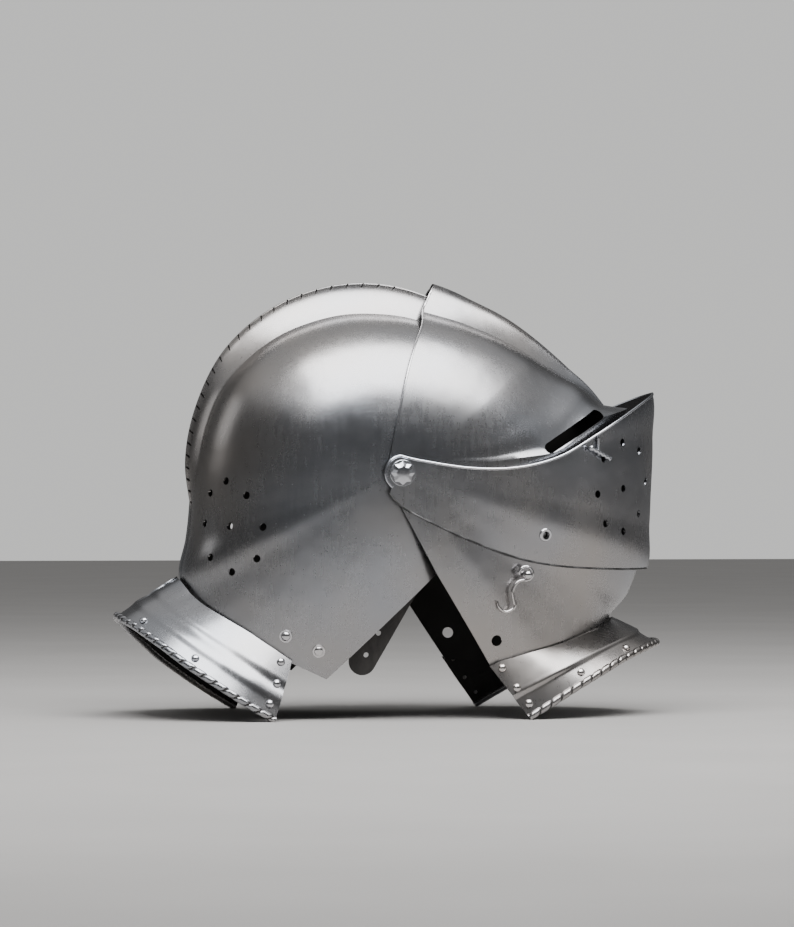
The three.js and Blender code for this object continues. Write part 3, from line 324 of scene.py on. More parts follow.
PEG_X = 145.2
PEG_TOP = 27.4
PEG_FOOT = 14
PEG_STEM_OUT = 1.6
PEG_STEM = rows_of(Taper, (0, 0.7), (0.15, 1.25), (0.8, 1), (1, 0.9))
PEG_BAR_OUT = 3.2
PEG_BAR_HALF = 9.8
PEG_BAR = 1.25
PEG_TWIST_DEPTH = 0.3
PEG_TWIST = 16
PEG_TILT = 19
PEG_BALL = 2.05
PEG_BALL_OUT = 0.6
PEG_PAST_BAR = 1.5

STRAP_TOP = Vector((26.7, 87.4, -41.7))
STRAP_END = Vector((-28.4, 76, -140.3))
STRAP_HALF_WIDTH = 9.5
STRAP_THICK = 2.4
STRAP_HOLES = [15, 32.6]
STRAP_HOLE = 1.9
STRAP_RIVET_INSET = 8
STRAP_HEAD = Head(3, 1.2, None)
STRAP_HEAD_SUNK = 0.1
SHORT_STRAP = 62
BUCKLE_WIDTH = 26
BUCKLE_HEIGHT = 20
BUCKLE_BAR = 2.6
STRAP_ROUND = 0.6
BUCKLE_ROUND = 0.9

# Distances below which vertices are one
MERGE = 1e-4
PLATE_MERGE = 0.01


# Sizes and colours that a user would change


def length_setting(name, description, millimetres):
    return FloatProperty(
        name=name,
        description=description,
        subtype="DISTANCE",
        min=0,
        precision=5,
        default=millimetres * MM,
    )


def colour_setting(name, description, default):
    return FloatVectorProperty(
        name=name,
        description=description,
        subtype="COLOR",
        size=3,
        min=0,
        max=1,
        default=default,
    )


class PlateSettings(bpy.types.PropertyGroup):
    """Sizes of the steel plates and their trim."""

    columns: IntProperty(
        name="Columns", description="Faces round the pivot on each plate", default=240, min=48
    )
    rows: IntProperty(
        name="Rows", description="Faces from a pivot to the middle line", default=44, min=12
    )
    bead: length_setting("Bead", "Radius of the turned edges of visor and bevor", 0.9)
    breath: length_setting("Breath", "Radius of a breathing hole", 2.7)
    rope: length_setting("Rope", "Radius of the roped rims", 2.7)
    lay: length_setting("Lay", "Length of one turn of the rope", 9.2)
    rope_depth: length_setting("Rope Depth", "Depth of the groove between turns", 0.95)
    notches: IntProperty(name="Notches", description="Cuts along the comb", default=26, min=2)


class FinishSettings(bpy.types.PropertyGroup):
    """Colours and gloss of the finishes."""

    steel: colour_setting("Steel", "Colour of the polished plates", (0.38, 0.38, 0.385))
    bright: colour_setting("Bright Steel", "Colour of rivets and edges", (0.66, 0.66, 0.67))
    black: colour_setting("Blackened Steel", "Colour inside the plates", (0.04, 0.038, 0.037))
    leather: colour_setting("Leather", "Colour of the chin straps", (0.02, 0.018, 0.017))
    roughness: FloatProperty(
        name="Roughness",
        description="Roughness of the plates",
        subtype="FACTOR",
        default=0.27,
        min=0,
        max=1,
    )


# Curves through short tables


class Smooth:
    """A curve through the rows of a table that doesn't overshoot between them."""

    def __init__(self, keys, values):
        self.keys = list(keys)
        self.values = list(values)
        pairs = range(len(self.keys) - 1)
        runs = [
            (self.values[i + 1] - self.values[i]) / (self.keys[i + 1] - self.keys[i])
            for i in pairs
        ]
        self.slopes = []
        for i in range(len(self.keys)):
            before = runs[max(i - 1, 0)]
            after = runs[min(i, len(runs) - 1)]
            level = before * after <= 0
            self.slopes.append(0 if level else 2 * before * after / (before + after))

    def __call__(self, at):
        at = min(max(at, self.keys[0]), self.keys[-1])
        i = 0
        while i < len(self.keys) - 2 and at > self.keys[i + 1]:
            i += 1
        span = self.keys[i + 1] - self.keys[i]
        s = (at - self.keys[i]) / span
        ease = s * s * (3 - 2 * s)
        bulge = span * s * (1 - s) * ((1 - s) * self.slopes[i] - s * self.slopes[i + 1])
        return self.values[i] * (1 - ease) + self.values[i + 1] * ease + bulge


def column(rows, name):
    """A smooth curve through one column of a table, against its first column."""
    return Smooth([row[0] for row in rows], [getattr(row, name) for row in rows])


def smoothstep(low, high, at):
    share = min(max((at - low) / (high - low), 0), 1)
    return share * share * (3 - 2 * share)


def side_point(angle, radius):
    turn = math.radians(angle)
    return radius * math.sin(turn), radius * math.cos(turn)


def flared(foot, edge, up):
    """Half the crest's width at a share of the way up its hollow flank."""
    return edge + (foot - edge) * (1 - up) ** CREST_FLARE


class Dome:
    """A plate's outer surface round the pivot axis, with the crest along its middle line."""

    def __init__(self, rows, half_width, fullness, keel, crest=None):
        self.half_width = half_width
        self.fullness = fullness
        self.keel = keel
        self.first = rows[0].angle
        turn = [Reach(rows[-1].angle - 360, rows[-1].reach), *rows]
        turn += [Reach(row.angle + 360, row.reach) for row in rows[:2]]
        self.smooth = column(turn, "reach")
        self.crest = crest
        if crest:
            self.crest_reach = column(crest, "reach")
            self.crest_foot = column(crest, "foot")
            self.crest_edge = column(crest, "edge")

    def reach(self, angle):
        return self.smooth(self.first + (angle - self.first) % 360)

    def half_width_at(self, x, z, lift=0):
        share = math.hypot(x, z) / (self.reach(math.degrees(math.atan2(x, z))) + lift)
        if share >= 1:
            return 0
        return (self.half_width + lift) * (1 - share**self.fullness) ** (1 / self.keel)

    def at(self, x, z, side, lift=0):
        """A point on the dome and its outward normal, on one side of the helmet."""
        step = 0.5
        points = [
            Vector((u, side * self.half_width_at(u, v, lift), v))
            for u, v in ((x, z), (x + step, z), (x - step, z), (x, z + step), (x, z - step))
        ]
        normal = (points[1] - points[2]).cross(points[3] - points[4]).normalized()
        return points[0], -side * normal

    def section(self, angle, share, inset):
        """Radius and half-width at a share of the way from the pivot to the middle line."""
        reach = self.reach(angle) - inset
        width = self.half_width - inset

        def rounded(turn):
            radius = reach * math.sin(turn) ** (2 / self.fullness)
            return radius, width * math.cos(turn) ** (2 / self.keel)

        if not self.crest:
            return rounded(share * math.pi / 2)
        foot = self.crest_foot(angle) - inset
        edge = max(self.crest_edge(angle) - inset, CREST_HOLLOW)
        inside = self.crest[0].angle <= angle <= self.crest[-1].angle
        high = max(self.crest_reach(angle) - inset, reach) if inside else reach
        last = math.acos((foot / width) ** (self.keel / 2))
        if share <= CREST_SHARE:
            return rounded(share / CREST_SHARE * last)
        low, _ = rounded(last)
        rest = (share - CREST_SHARE) / (1 - CREST_SHARE)
        if rest <= CREST_FLANK:
            up = rest / CREST_FLANK
            return low + (high - CREST_ROUND - low) * up, flared(foot, edge, up)
        turn = (rest - CREST_FLANK) / (1 - CREST_FLANK) * math.pi / 2
        return high - CREST_ROUND * (1 - math.sin(turn)), edge * math.cos(turn)

    def skin(self, x, z):
        """Half the width at a point of the side view, with the crest, or None past its top."""
        angle = math.degrees(math.atan2(x, z))
        radius = math.hypot(x, z)
        if not self.crest or not self.crest[0].angle <= angle <= self.crest[-1].angle:
            return self.half_width_at(x, z) if radius < self.reach(angle) else None
        low, foot = self.section(angle, CREST_SHARE, 0)
        if radius <= low:
            return self.half_width_at(x, z)
        high = self.crest_reach(angle)
        if radius >= high:
            return None
        return flared(foot, self.crest_edge(angle), (radius - low) / (high - low))


SKULL_DOME = Dome(SKULL_ROWS, half_width=97, fullness=2.3, keel=2.3, crest=SKULL_CREST)
VISOR_DOME = Dome(VISOR_ROWS, half_width=99.5, fullness=2.3, keel=2.15, crest=VISOR_CREST)
LOWER_BEVOR_DOME = Dome(LOWER_BEVOR_ROWS, half_width=102, fullness=2.8, keel=1.5)
UPPER_BEVOR_DOME = Dome(UPPER_BEVOR_ROWS, half_width=104.5, fullness=2.8, keel=1.5)


def ledge_bend(angle, radius):
    """How far the visor's ledge is turned down at a distance from the pivot."""
    near = 1 - smoothstep(LEDGE_NEAR, LEDGE_FAR, radius)
    inside = smoothstep(LEDGE_START, LEDGE_FULL, radius)
    off = (angle - (LEDGE_TOP + LEDGE_FOOT) / 2) / LEDGE_SPREAD
    return LEDGE_BEND * near * inside * max(0, 1 - off * off)


# Shader maths


class Wire:
    """A socket of a node tree that takes part in Python expressions."""

    def __init__(self, tree, socket):
        self.tree = tree
        self.socket = socket

    def of(self, kind, output=0, settings=None, **inputs):
        """An output of a new node: its settings come first, then its sockets' values or links."""
        made = self.tree.nodes.new(kind)
        for name, value in (settings or {}).items():
            if name == "stops":
                ramp = made.color_ramp.elements
                while len(ramp) > 1:
                    ramp.remove(ramp[-1])
                for i, (position, level) in enumerate(value):
                    stop = ramp[0] if i == 0 else ramp.new(position)
                    stop.position = position
                    stop.color = (level, level, level, 1)
            else:
                setattr(made, name, value)
        for name, value in inputs.items():
            key = int(name[1:]) if name[0] == "_" else name.replace("_", " ")
            target = made.inputs[key]
            if isinstance(value, Wire):
                self.tree.links.new(value.socket, target)
            else:
                target.default_value = value
        return Wire(self.tree, made.outputs[output])

    def math(self, operation, *values):
        inputs = {f"_{i}": value for i, value in enumerate(values)}
        return self.of("ShaderNodeMath", 0, {"operation": operation}, **inputs)

    def __add__(self, other):
        return self.math("ADD", self, other)

    __radd__ = __add__

    def __sub__(self, other):
        return self.math("SUBTRACT", self, other)

    def __rsub__(self, other):
        return self.math("SUBTRACT", other, self)

    def __mul__(self, other):
        return self.math("MULTIPLY", self, other)

    __rmul__ = __mul__

    def blend(self, first, second):
        """The colour between two others by this factor."""
        settings = {"data_type": "RGBA"}
        return self.of("ShaderNodeMix", 2, settings, _0=self, _6=first, _7=second)

    def ramp(self, *stops):
        return self.of("ShaderNodeValToRGB", 0, {"stops": stops}, Fac=self)


def material(name, constants):
    """A new material, a wire to start from, its shader and its own coordinates."""
    made = bpy.data.materials.new(name)
    made.use_nodes = True
    tree = made.node_tree
    shader = tree.nodes["Principled BSDF"]
    for socket, value in constants.items():
        shader.inputs[socket].default_value = value
    place = Wire(tree, tree.nodes.new("ShaderNodeTexCoord").outputs["Object"])
    return made, place, shader


def feed(place, shader, **inputs):
    for name, value in inputs.items():
        place.tree.links.new(value.socket, shader.inputs[name.replace("_", " ")])


def noise(place, scale, detail=3, stretch=(1, 1, 1), roughness=0.5):
    moved = place.of("ShaderNodeMapping", 0, None, Vector=place, Scale=stretch)
    return place.of(
        "ShaderNodeTexNoise",
        0,
        None,
        Vector=moved,
        Scale=scale,
        Detail=detail,
        Roughness=roughness,
    )


def rgba(colour, factor=1.0):
    return (*[min(c * factor, 1) for c in colour], 1)


def brushed_steel(name, colour, rough, spread, hammered):
    """Polished steel with fine brushing over soft hammer marks, and warm and cool patches."""
    made, place, shader = material(name, {"Metallic": 1, "Roughness": rough})
    clouds = noise(place, 14, 4)
    patches = noise(place, 7, 3).ramp((0.35, 0), (0.65, 1))
    brushing = noise(place, 340, 3, (1, 1, 0.08), 0.6)
    cross = noise(place, 420, 2, (0.1, 1, 1), 0.6)
    specks = noise(place, 700, 2).ramp((0.72, 0), (0.86, 1))
    warm = (colour[0] * 1.06, colour[1] * 0.99, colour[2] * 0.93)
    cool = (colour[0] * 0.95, colour[1] * 0.99, colour[2] * 1.06)
    base = patches.blend(rgba(cool), rgba(warm))
    shade = (specks * 0.07 + (1 - clouds) * 0.26).blend(base, rgba(colour, 0.6))
    gloss = clouds * spread + brushing * 0.08 + cross * 0.04 + (rough - spread / 2 - 0.06)
    dents = noise(place, 24, 2)
    soft = place.of("ShaderNodeBump", 0, None, Strength=hammered, Distance=0.0012, Height=dents)
    bump = place.of(
        "ShaderNodeBump",
        0,
        None,
        Strength=0.05,
        Distance=0.0001,
        Height=brushing + cross * 0.4,
        Normal=soft,
    )
    feed(place, shader, Base_Color=shade, Roughness=gloss, Normal=bump)
    return made


def edge_shade_and_wear(name, colour):
    """The cut edge of a plate, darkened as painted shade, with brighter worn places."""
    made, place, shader = material(name, {"Metallic": 1, "Roughness": 0.4})
    wear = noise(place, 80, 4).ramp((0.45, 0), (0.7, 1))
    # Painted shade: the steel colour darkened to between a sixth and a half of itself, the lighter
    # parts at worn places.
    base = wear.blend(rgba(colour, 0.16), rgba(colour, 0.5))
    feed(place, shader, Base_Color=base, Roughness=wear * 0.15 + 0.34)
    return made


def blackened_steel_and_shade(name, colour):
    """The forge-black inside of the plates; on the walls of notches, slits and rope grooves the
    same black is painted shade.
    """
    made, place, shader = material(name, {"Metallic": 0.85, "Roughness": 0.6})
    clouds = noise(place, 30, 5)
    base = clouds.blend(rgba(colour, 0.6), rgba(colour, 1.7))
    bump = place.of("ShaderNodeBump", 0, None, Strength=0.3, Distance=0.0004, Height=clouds)
    feed(place, shader, Base_Color=base, Roughness=clouds * 0.3 + 0.42, Normal=bump)
    return made


def strap_leather(name, colour):
    """Dark waxed leather with a fine grain and paler creases."""
    made, place, shader = material(name, {"Roughness": 0.6, "Specular IOR Level": 0.4})
    grain = place.of("ShaderNodeTexVoronoi", 0, None, Vector=place, Scale=900.0)
    creases = noise(place, 120, 4, (1, 1, 0.4))
    base = creases.ramp((0.4, 0), (0.7, 1)).blend(rgba(colour), rgba(colour, 2.6))
    bump = place.of(
        "ShaderNodeBump", 0, None, Strength=0.4, Distance=0.0003, Height=grain * 0.6 + creases
    )
    feed(place, shader, Base_Color=base, Roughness=creases * 0.3 + 0.42, Normal=bump)
    return made


FINISHES = {}


def make_finishes(settings):
    steel = settings.steel
    FINISHES["plate"] = brushed_steel("Brushed Steel", steel, settings.roughness, 0.14, 0.5)
    # The bright finish is the own colour of rivets and fittings; on turned edges and hole walls it
    # is a painted highlight.
    FINISHES["bright"] = brushed_steel("Bright Steel", settings.bright, 0.2, 0.08, 0.1)
    # The edge finish paints shade along the cut edges and in the gaps between plates.
    FINISHES["edge"] = edge_shade_and_wear("Worn Edge", steel)
    # The black finish is the inside of the plates, and painted shade in the notches, slits and
    # rope grooves.
    FINISHES["black"] = blackened_steel_and_shade("Blackened Steel", settings.black)
    FINISHES["leather"] = strap_leather("Strap Leather", settings.leather)


# Mesh helpers

OUTER = 0
# Inside faces take the black finish; on the walls of notches, slits and rope grooves it is painted
# shade.
INSIDE_AND_SHADE = 1
# Cut edges and the bead under the upper bevor take a darkened finish, painted shade in the gaps.
EDGE_SHADE = 2
# Hole walls and turned edges take a brighter finish, a painted highlight along them.
EDGE_HIGHLIGHT = 3
PLATE_FINISH = ("plate", "black", "edge", "bright")


def mesh_from(bm, name):
    """The bmesh as a mesh. The bmesh is freed."""
    mesh = bpy.data.meshes.new(name)
    bm.to_mesh(mesh)
    bm.free()
    return mesh


def object_of(name, data):
    """A new object in the scene with this mesh, lamp or camera."""
    made = bpy.data.objects.new(name, data)
    bpy.context.scene.collection.objects.link(made)
    return made


def remove(obj):
    """Removes an object with its mesh."""
    mesh = obj.data
    bpy.data.objects.remove(obj)
    bpy.data.meshes.remove(mesh)


def gathered(parts):
    """Several bmeshes as one."""
    bm = bmesh.new()
    for part in parts:
        mesh = mesh_from(part, "part")
        bm.from_mesh(mesh)
        bpy.data.meshes.remove(mesh)
    return bm


def paint(faces, finish):
    for face in faces:
        face.material_index = finish


def finish_piece(bm, name, body, finishes=("bright",), sharp=30):
    """Makes the bmesh an object in the frame's metres that takes the place of a CAD node."""
    place = Matrix.Translation(PIVOT) @ Matrix.Scale(MM, 4)
    bmesh.ops.transform(bm, matrix=place, verts=bm.verts)
    for face in bm.faces:
        face.smooth = True
    for edge in bm.edges:
        if len(edge.link_faces) == 2 and edge.calc_face_angle(0) > math.radians(sharp):
            edge.smooth = False
    made = object_of(f"{name}_piece", mesh_from(bm, f"{name}_piece"))
    for finish in finishes:
        made.data.materials.append(FINISHES[finish])
    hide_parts(name)
    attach(made, body)
    return made


def flattened(obj):
    """The object's mesh with its modifiers applied, as a bmesh. The object is removed."""
    depsgraph = bpy.context.evaluated_depsgraph_get()
    mesh = bpy.data.meshes.new_from_object(obj.evaluated_get(depsgraph))
    bm = bmesh.new()
    bm.from_mesh(mesh)
    bpy.data.meshes.remove(mesh)
    remove(obj)
    return bm


def loose_object(bm, name):
    """An object for a cut, with room for each finish of a plate."""
    mesh = mesh_from(bm, name)
    for _ in PLATE_FINISH:
        mesh.materials.append(None)
    return object_of(name, mesh)


def combine(first, second, operation):
    """Cuts or joins two closed bmeshes exactly and gives back the result."""
    base = loose_object(first, "base")
    tool = loose_object(second, "tool")
    cut = base.modifiers.new("cut", "BOOLEAN")
    cut.operation = operation
    cut.solver = "EXACT"
    cut.material_mode = "INDEX"
    cut.object = tool
    made = flattened(base)
    remove(tool)
    return made


def dome_shell(dome, settings, inset):
    """A ball whose vertices are moved onto a dome, with its poles at the pivots."""
    rows = 2 * settings.rows
    columns = settings.columns
    step = 360 / columns
    angles = [i * step for i in range(columns)]
    if dome is VISOR_DOME:
        nearest = round(LEDGE_TOP / step)
        angles[nearest] = LEDGE_TOP
        angles[nearest + 1] = LEDGE_FOOT
    bm = bmesh.new()
    bmesh.ops.create_uvsphere(bm, u_segments=columns, v_segments=rows, radius=1)
    bmesh.ops.rotate(bm, matrix=Matrix.Rotation(math.pi / 2, 3, "X"), verts=bm.verts)
    for vert in bm.verts:
        x, y, z = vert.co
        row = round(math.acos(min(max(abs(y), -1), 1)) / math.pi * rows)
        share = row / settings.rows
        side = LEFT if y > 0 else RIGHT
        angle = angles[round(math.degrees(math.atan2(x, z)) / step) % columns]
        signed = angle if angle <= 180 else angle - 360
        radius, width = dome.section(signed, share, inset)
        if dome is VISOR_DOME:
            signed += ledge_bend(signed, radius)
        vert.co.x, vert.co.z = side_point(signed, radius)
        vert.co.y = side * width
    return bm


def plate_body(dome, settings):
    """The closed wall between a dome and its hollow."""
    bm = dome_shell(dome, settings, 0)
    hollow = dome_shell(dome, settings, PLATE)
    bmesh.ops.recalc_face_normals(bm, faces=bm.faces)
    bmesh.ops.recalc_face_normals(hollow, faces=hollow.faces)
    bmesh.ops.reverse_faces(hollow, faces=hollow.faces)
    paint(hollow.faces, INSIDE_AND_SHADE)
    return gathered([bm, hollow])


def thicken(bm, faces, depth):
    """Makes flat faces a slab along a direction."""
    made = bmesh.ops.extrude_face_region(bm, geom=faces)["geom"]
    moved = [item for item in made if isinstance(item, bmesh.types.BMVert)]
    bmesh.ops.translate(bm, vec=depth, verts=moved)
    bmesh.ops.recalc_face_normals(bm, faces=bm.faces)


def side_block(outline, finish=EDGE_SHADE):
    """A block right across the helmet with the given outline in the side view."""
    bm = bmesh.new()
    face = bm.faces.new([bm.verts.new((x, -PAST_SIDE, z)) for x, z in outline])
    thicken(bm, [face], (0, 2 * PAST_SIDE, 0))
    # The faces become a cut edge of the plate, by default in the darkened finish that paints shade
    # along it.
    paint(bm.faces, finish)
    return bm


def curve_points(points, per_span=6):
    """Points on a smooth curve through others."""
    ends = [points[0], *points, points[-1]]
    made = []
    for i in range(len(points) - 1):
        p0, p1, p2, p3 = (Vector(p) for p in ends[i : i + 4])
        for j in range(per_span):
            t = j / per_span
            made.append(
                0.5
                * (
                    2 * p1
                    + (p2 - p0) * t
                    + (2 * p0 - 5 * p1 + 4 * p2 - p3) * t * t
                    + (3 * p1 - p0 - 3 * p2 + p3) * t**3
                )
            )
    made.append(Vector(points[-1]))
    return made


def curve_outline(points):
    return [tuple(point) for point in curve_points(points)]


def arc(x, z, radius, start, end, steps=16):
    """Points on an arc, with angles from the front, positive upwards."""
    turns = [math.radians(start + (end - start) * i / steps) for i in range(steps + 1)]
    return [(x + radius * math.cos(turn), z + radius * math.sin(turn)) for turn in turns]


def neck_outline(table):
    """A plate's lower edge, some way under the gorget plate."""
    points = []
    for row in reversed(table[:-1]):
        x, z = side_point(row.neck_angle, row.neck_radius + NECK_OUT * NECK_OVERLAP)
        points.append((x, z - NECK_DOWN * NECK_OVERLAP))
    return points


def soften(bm, width):
    """Rounds the sharp edges of a slab."""
    rims = [edge for edge in bm.edges if abs(edge.calc_face_angle(0)) > 1]
    bmesh.ops.bevel(
        bm, geom=rims, offset=width, segments=3, profile=0.5, affect="EDGES", material=-1
    )


def drill(point, normal, radius, reach=12, sides=28):
    """A cutter along a direction through a point."""
    bm = bmesh.new()
    bmesh.ops.create_cone(
        bm, cap_ends=True, segments=sides, radius1=radius, radius2=radius, depth=2 * reach
    )
    place_along(bm, point, normal)
    # The wall of the hole takes the bright finish, a painted highlight round the hole.
    paint(bm.faces, EDGE_HIGHLIGHT)
    return bm


def place_along(bm, point, normal):
    """Turns what stands along +Z to stand along a normal at a point."""
    turn = Vector((0, 0, 1)).rotation_difference(normal).to_matrix().to_4x4()
    bmesh.ops.transform(bm, matrix=Matrix.Translation(point) @ turn, verts=bm.verts)


def dome_drills(dome, places, radius):
    drills = []
    for place in places:
        for side in SIDES.values():
            point, normal = dome.at(place.x, place.z, side)
            drills.append(drill(point, normal, radius))
    return drills


def pivot_drill():
    return drill(Vector((0, 0, 0)), Vector((0, 1, 0)), PIVOT_HOLE, PAST_SIDE)


def sheet(u_steps, v_steps, place):
    """A grid whose vertices are moved to where a function of two shares puts them."""
    bm = bmesh.new()
    bmesh.ops.create_grid(bm, x_segments=u_steps, y_segments=v_steps, size=1)
    for vert in bm.verts:
        vert.co = place((vert.co.x + 1) / 2, (vert.co.y + 1) / 2)
    return bm


def tube(path, radius, steps, sides=12):
    """A round bar along a function of one share, with closed ends."""

    def place(u, v):
        here, ahead = path(max(u - 0.002, 0)), path(min(u + 0.002, 1))
        along = (ahead - here).normalized()
        across = along.cross(Vector((0, 1, 0.02))).normalized()
        up = across.cross(along)
        turn = v * 2 * math.pi
        out = math.cos(turn) * across + math.sin(turn) * up
        return path(u) + radius(u, v, out) * out

    bm = sheet(steps, sides, place)
    bmesh.ops.remove_doubles(bm, verts=bm.verts, dist=MERGE)
    bmesh.ops.holes_fill(bm, edges=[e for e in bm.edges if e.is_boundary])
    bmesh.ops.recalc_face_normals(bm, faces=bm.faces)
    return bm


def lathe(profile, steps=32):
    """Spins a profile of radii and heights about +Z into a closed body."""
    bm = bmesh.new()
    verts = [bm.verts.new((radius, 0, height)) for radius, height in profile]
    edges = [bm.edges.new(pair) for pair in zip(verts, verts[1:])]
    bmesh.ops.spin(
        bm,
        geom=verts + edges,
        cent=(0, 0, 0),
        axis=(0, 0, 1),
        angle=2 * math.pi,
        steps=steps,
        use_merge=True,
    )
    bmesh.ops.remove_doubles(bm, verts=bm.verts, dist=MERGE)
    bmesh.ops.recalc_face_normals(bm, faces=bm.faces)
    return bm


def dome_profile(radius, base, rise, steps=6):
    """The top of a domed head, from its rim to its crown."""
    turns = [i / steps * math.pi / 2 for i in range(steps + 1)]
    return [(radius * math.cos(turn), base + rise * math.sin(turn)) for turn in turns]


def path_through(points):
    """A function of one share along a smooth curve through points."""
    fine = curve_points(points, 12)
    lengths = [0]
    for a, b in zip(fine, fine[1:]):
        lengths.append(lengths[-1] + (b - a).length)
    total = lengths[-1]

    def at(share):
        want = min(max(share, 0), 1) * total
        low, high = 0, len(lengths) - 1
        while high - low > 1:
            middle = (low + high) // 2
            low, high = (middle, high) if lengths[middle] <= want else (low, middle)
        part = (want - lengths[low]) / max(lengths[high] - lengths[low], 1e-9)
        return fine[low].lerp(fine[high], part)

    return at, total


# The plates


def skull_outline():
    outline = [SKULL_FRONT, *curve_outline(SKULL_BROW), *curve_outline(SKULL_CHEEK)[1:]]
    outline += [*SKULL_FOOT, *neck_outline(REAR_GORGET)]
    return outline + [(-FAR, SKULL_NAPE), (-FAR, FAR), (SKULL_FRONT.x, FAR)]


def visor_outline():
    outline = curve_outline(VISOR_REAR_EDGE) + arc(0, 0, *VISOR_ARM)
    outline += VISOR_LOWER_EDGE
    return outline + [(FAR, VISOR_LOWER_EDGE[-1].z), (FAR, VISOR_REAR_EDGE[0].z)]


def slit_outline():
    lean = math.degrees(math.atan2(SLIT_FRONT.z - SLIT_BACK.z, SLIT_FRONT.x - SLIT_BACK.x))
    front = arc(*SLIT_FRONT, SLIT_HALF_HEIGHT, lean - 90, lean + 90)
    return front + arc(*SLIT_BACK, SLIT_HALF_HEIGHT, lean + 90, lean + 270)


def upper_bevor_outline():
    outline = curve_outline(UPPER_BEVOR_TOP)
    outline += [(FAR, UPPER_BEVOR_PEAK), (FAR, UPPER_BEVOR_BOTTOM[0].z)]
    outline += curve_outline(UPPER_BEVOR_BOTTOM)
    return outline + arc(0, 0, *UPPER_BEVOR_ARM)


def lower_bevor_outline():
    lower = neck_outline(FRONT_GORGET)
    outline = LOWER_BEVOR_REAR + lower[1:]
    outline += [(FAR, lower[-1][1]), (FAR, LOWER_BEVOR_TOP[0].z), *LOWER_BEVOR_TOP]
    return outline + arc(0, 0, *LOWER_BEVOR_ARM)


def edge_bead(dome, outline, radius, finish=EDGE_HIGHLIGHT):
    """The turned edge that follows an outline right over the helmet from one side to the other."""
    points = []
    for x, z in outline:
        width = dome.skin(x, z)
        if width is None:
            break
        points.append(Vector((x, width, z)))
    over = points[-1].normalized() * BEAD_OVER
    middle = Vector((points[-1].x + over.x, 0, points[-1].z + over.z))
    right = [Vector((p.x, RIGHT * p.y, p.z)) for p in points]
    path, length = path_through([*right, middle, *reversed(points)])
    bm = tube(path, lambda u, v, out: radius, round(length / BEAD_STEP), 10)
    # The bead is bright by default, a painted highlight along the edge; with the darkened finish
    # it paints a shadow line.
    paint(bm.faces, finish)
    return bm


def make_plate(dome, outline, cutters, name, settings, beads=()):
    bm = combine(plate_body(dome, settings), side_block(outline), "INTERSECT")
    bm = combine(bm, gathered(cutters), "DIFFERENCE")
    bmesh.ops.remove_doubles(bm, verts=bm.verts, dist=PLATE_MERGE)
    return finish_piece(gathered([bm, *beads]), name, name, PLATE_FINISH)


def comb_notches(settings):
    """Cutters for the slanted cuts down both sides of the comb, closer together at its foot."""
    cutters = []
    for i in range(settings.notches):
        share = i / (settings.notches - 1)
        crowded = share + NOTCH_CROWDING * math.sin(share * math.pi)
        angle = NOTCH_START - NOTCH_SWEEP * crowded
        x, z = side_point(angle, SKULL_DOME.crest_reach(angle))
        radial = Vector((x, 0, z)).normalized()
        tangent = Vector((-radial.z, 0, radial.x))
        along = (radial - NOTCH_LEAN * tangent).normalized()
        half = SKULL_DOME.crest_edge(angle)
        for side in SIDES.values():
            bm = bmesh.new()
            bmesh.ops.create_cone(
                bm,
                cap_ends=True,
                segments=4,
                radius1=NOTCH_TIP,
                radius2=NOTCH_MOUTH,
                depth=NOTCH_LENGTH,
            )
            place_along(bm, Vector((0, 0, 0)), along)
            bmesh.ops.scale(bm, vec=(1, NOTCH_FLATTEN, 1), verts=bm.verts)
            centre = Vector((x, side * (half + NOTCH_OUT), z)) - along * NOTCH_IN
            bmesh.ops.translate(bm, vec=centre, verts=bm.verts)
            # The notch walls take the black finish, painted shade in the cuts.
            paint(bm.faces, INSIDE_AND_SHADE)
            cutters.append(bm)
    return cutters


# Gorget plates


class Gorget:
    """Where the points of a gorget plate lie, by station and share of the way to the rim."""

    def __init__(self, table, dome, ridges):
        self.dome = dome
        places = [i / (len(table) - 1) for i in range(len(table))]
        self.curves = [Smooth(places, [row[i] for row in table]) for i in range(5)]
        self.rise = Smooth(*zip(*ridges))

    def base(self, signed, share, lift=GORGET_LIFT + PLATE):
        at = abs(signed)
        side = RIGHT if signed < 0 else LEFT
        angle, radius, rim_x, rim_y, rim_z = (curve(at) for curve in self.curves)
        blend = 1 - smoothstep(0, GORGET_BLEND, at)
        radius = radius * (1 - blend) + (self.dome.reach(angle) + lift) * blend
        x, z = side_point(angle, radius)
        width = self.dome.half_width_at(x, z, lift) * smoothstep(0, GORGET_KEEL, at)
        return Vector((x, side * width, z)).lerp(Vector((rim_x, side * rim_y, rim_z)), share)

    def normal(self, signed, share):
        at = min(max(signed, -LAST_NORMAL), LAST_NORMAL)
        along = self.base(at + NORMAL_STEP, share) - self.base(at - NORMAL_STEP, share)
        down = self.base(at, share + NORMAL_STEP) - self.base(at, share - NORMAL_STEP)
        normal = along.cross(down).normalized()
        out = self.base(at, share)
        return -normal if normal.dot(Vector((out.x, 1.5 * out.y, 0))) < 0 else normal

    def surface(self, signed, share, depth=0):
        return self.base(signed, share) + self.normal(signed, share) * (self.rise(share) - depth)


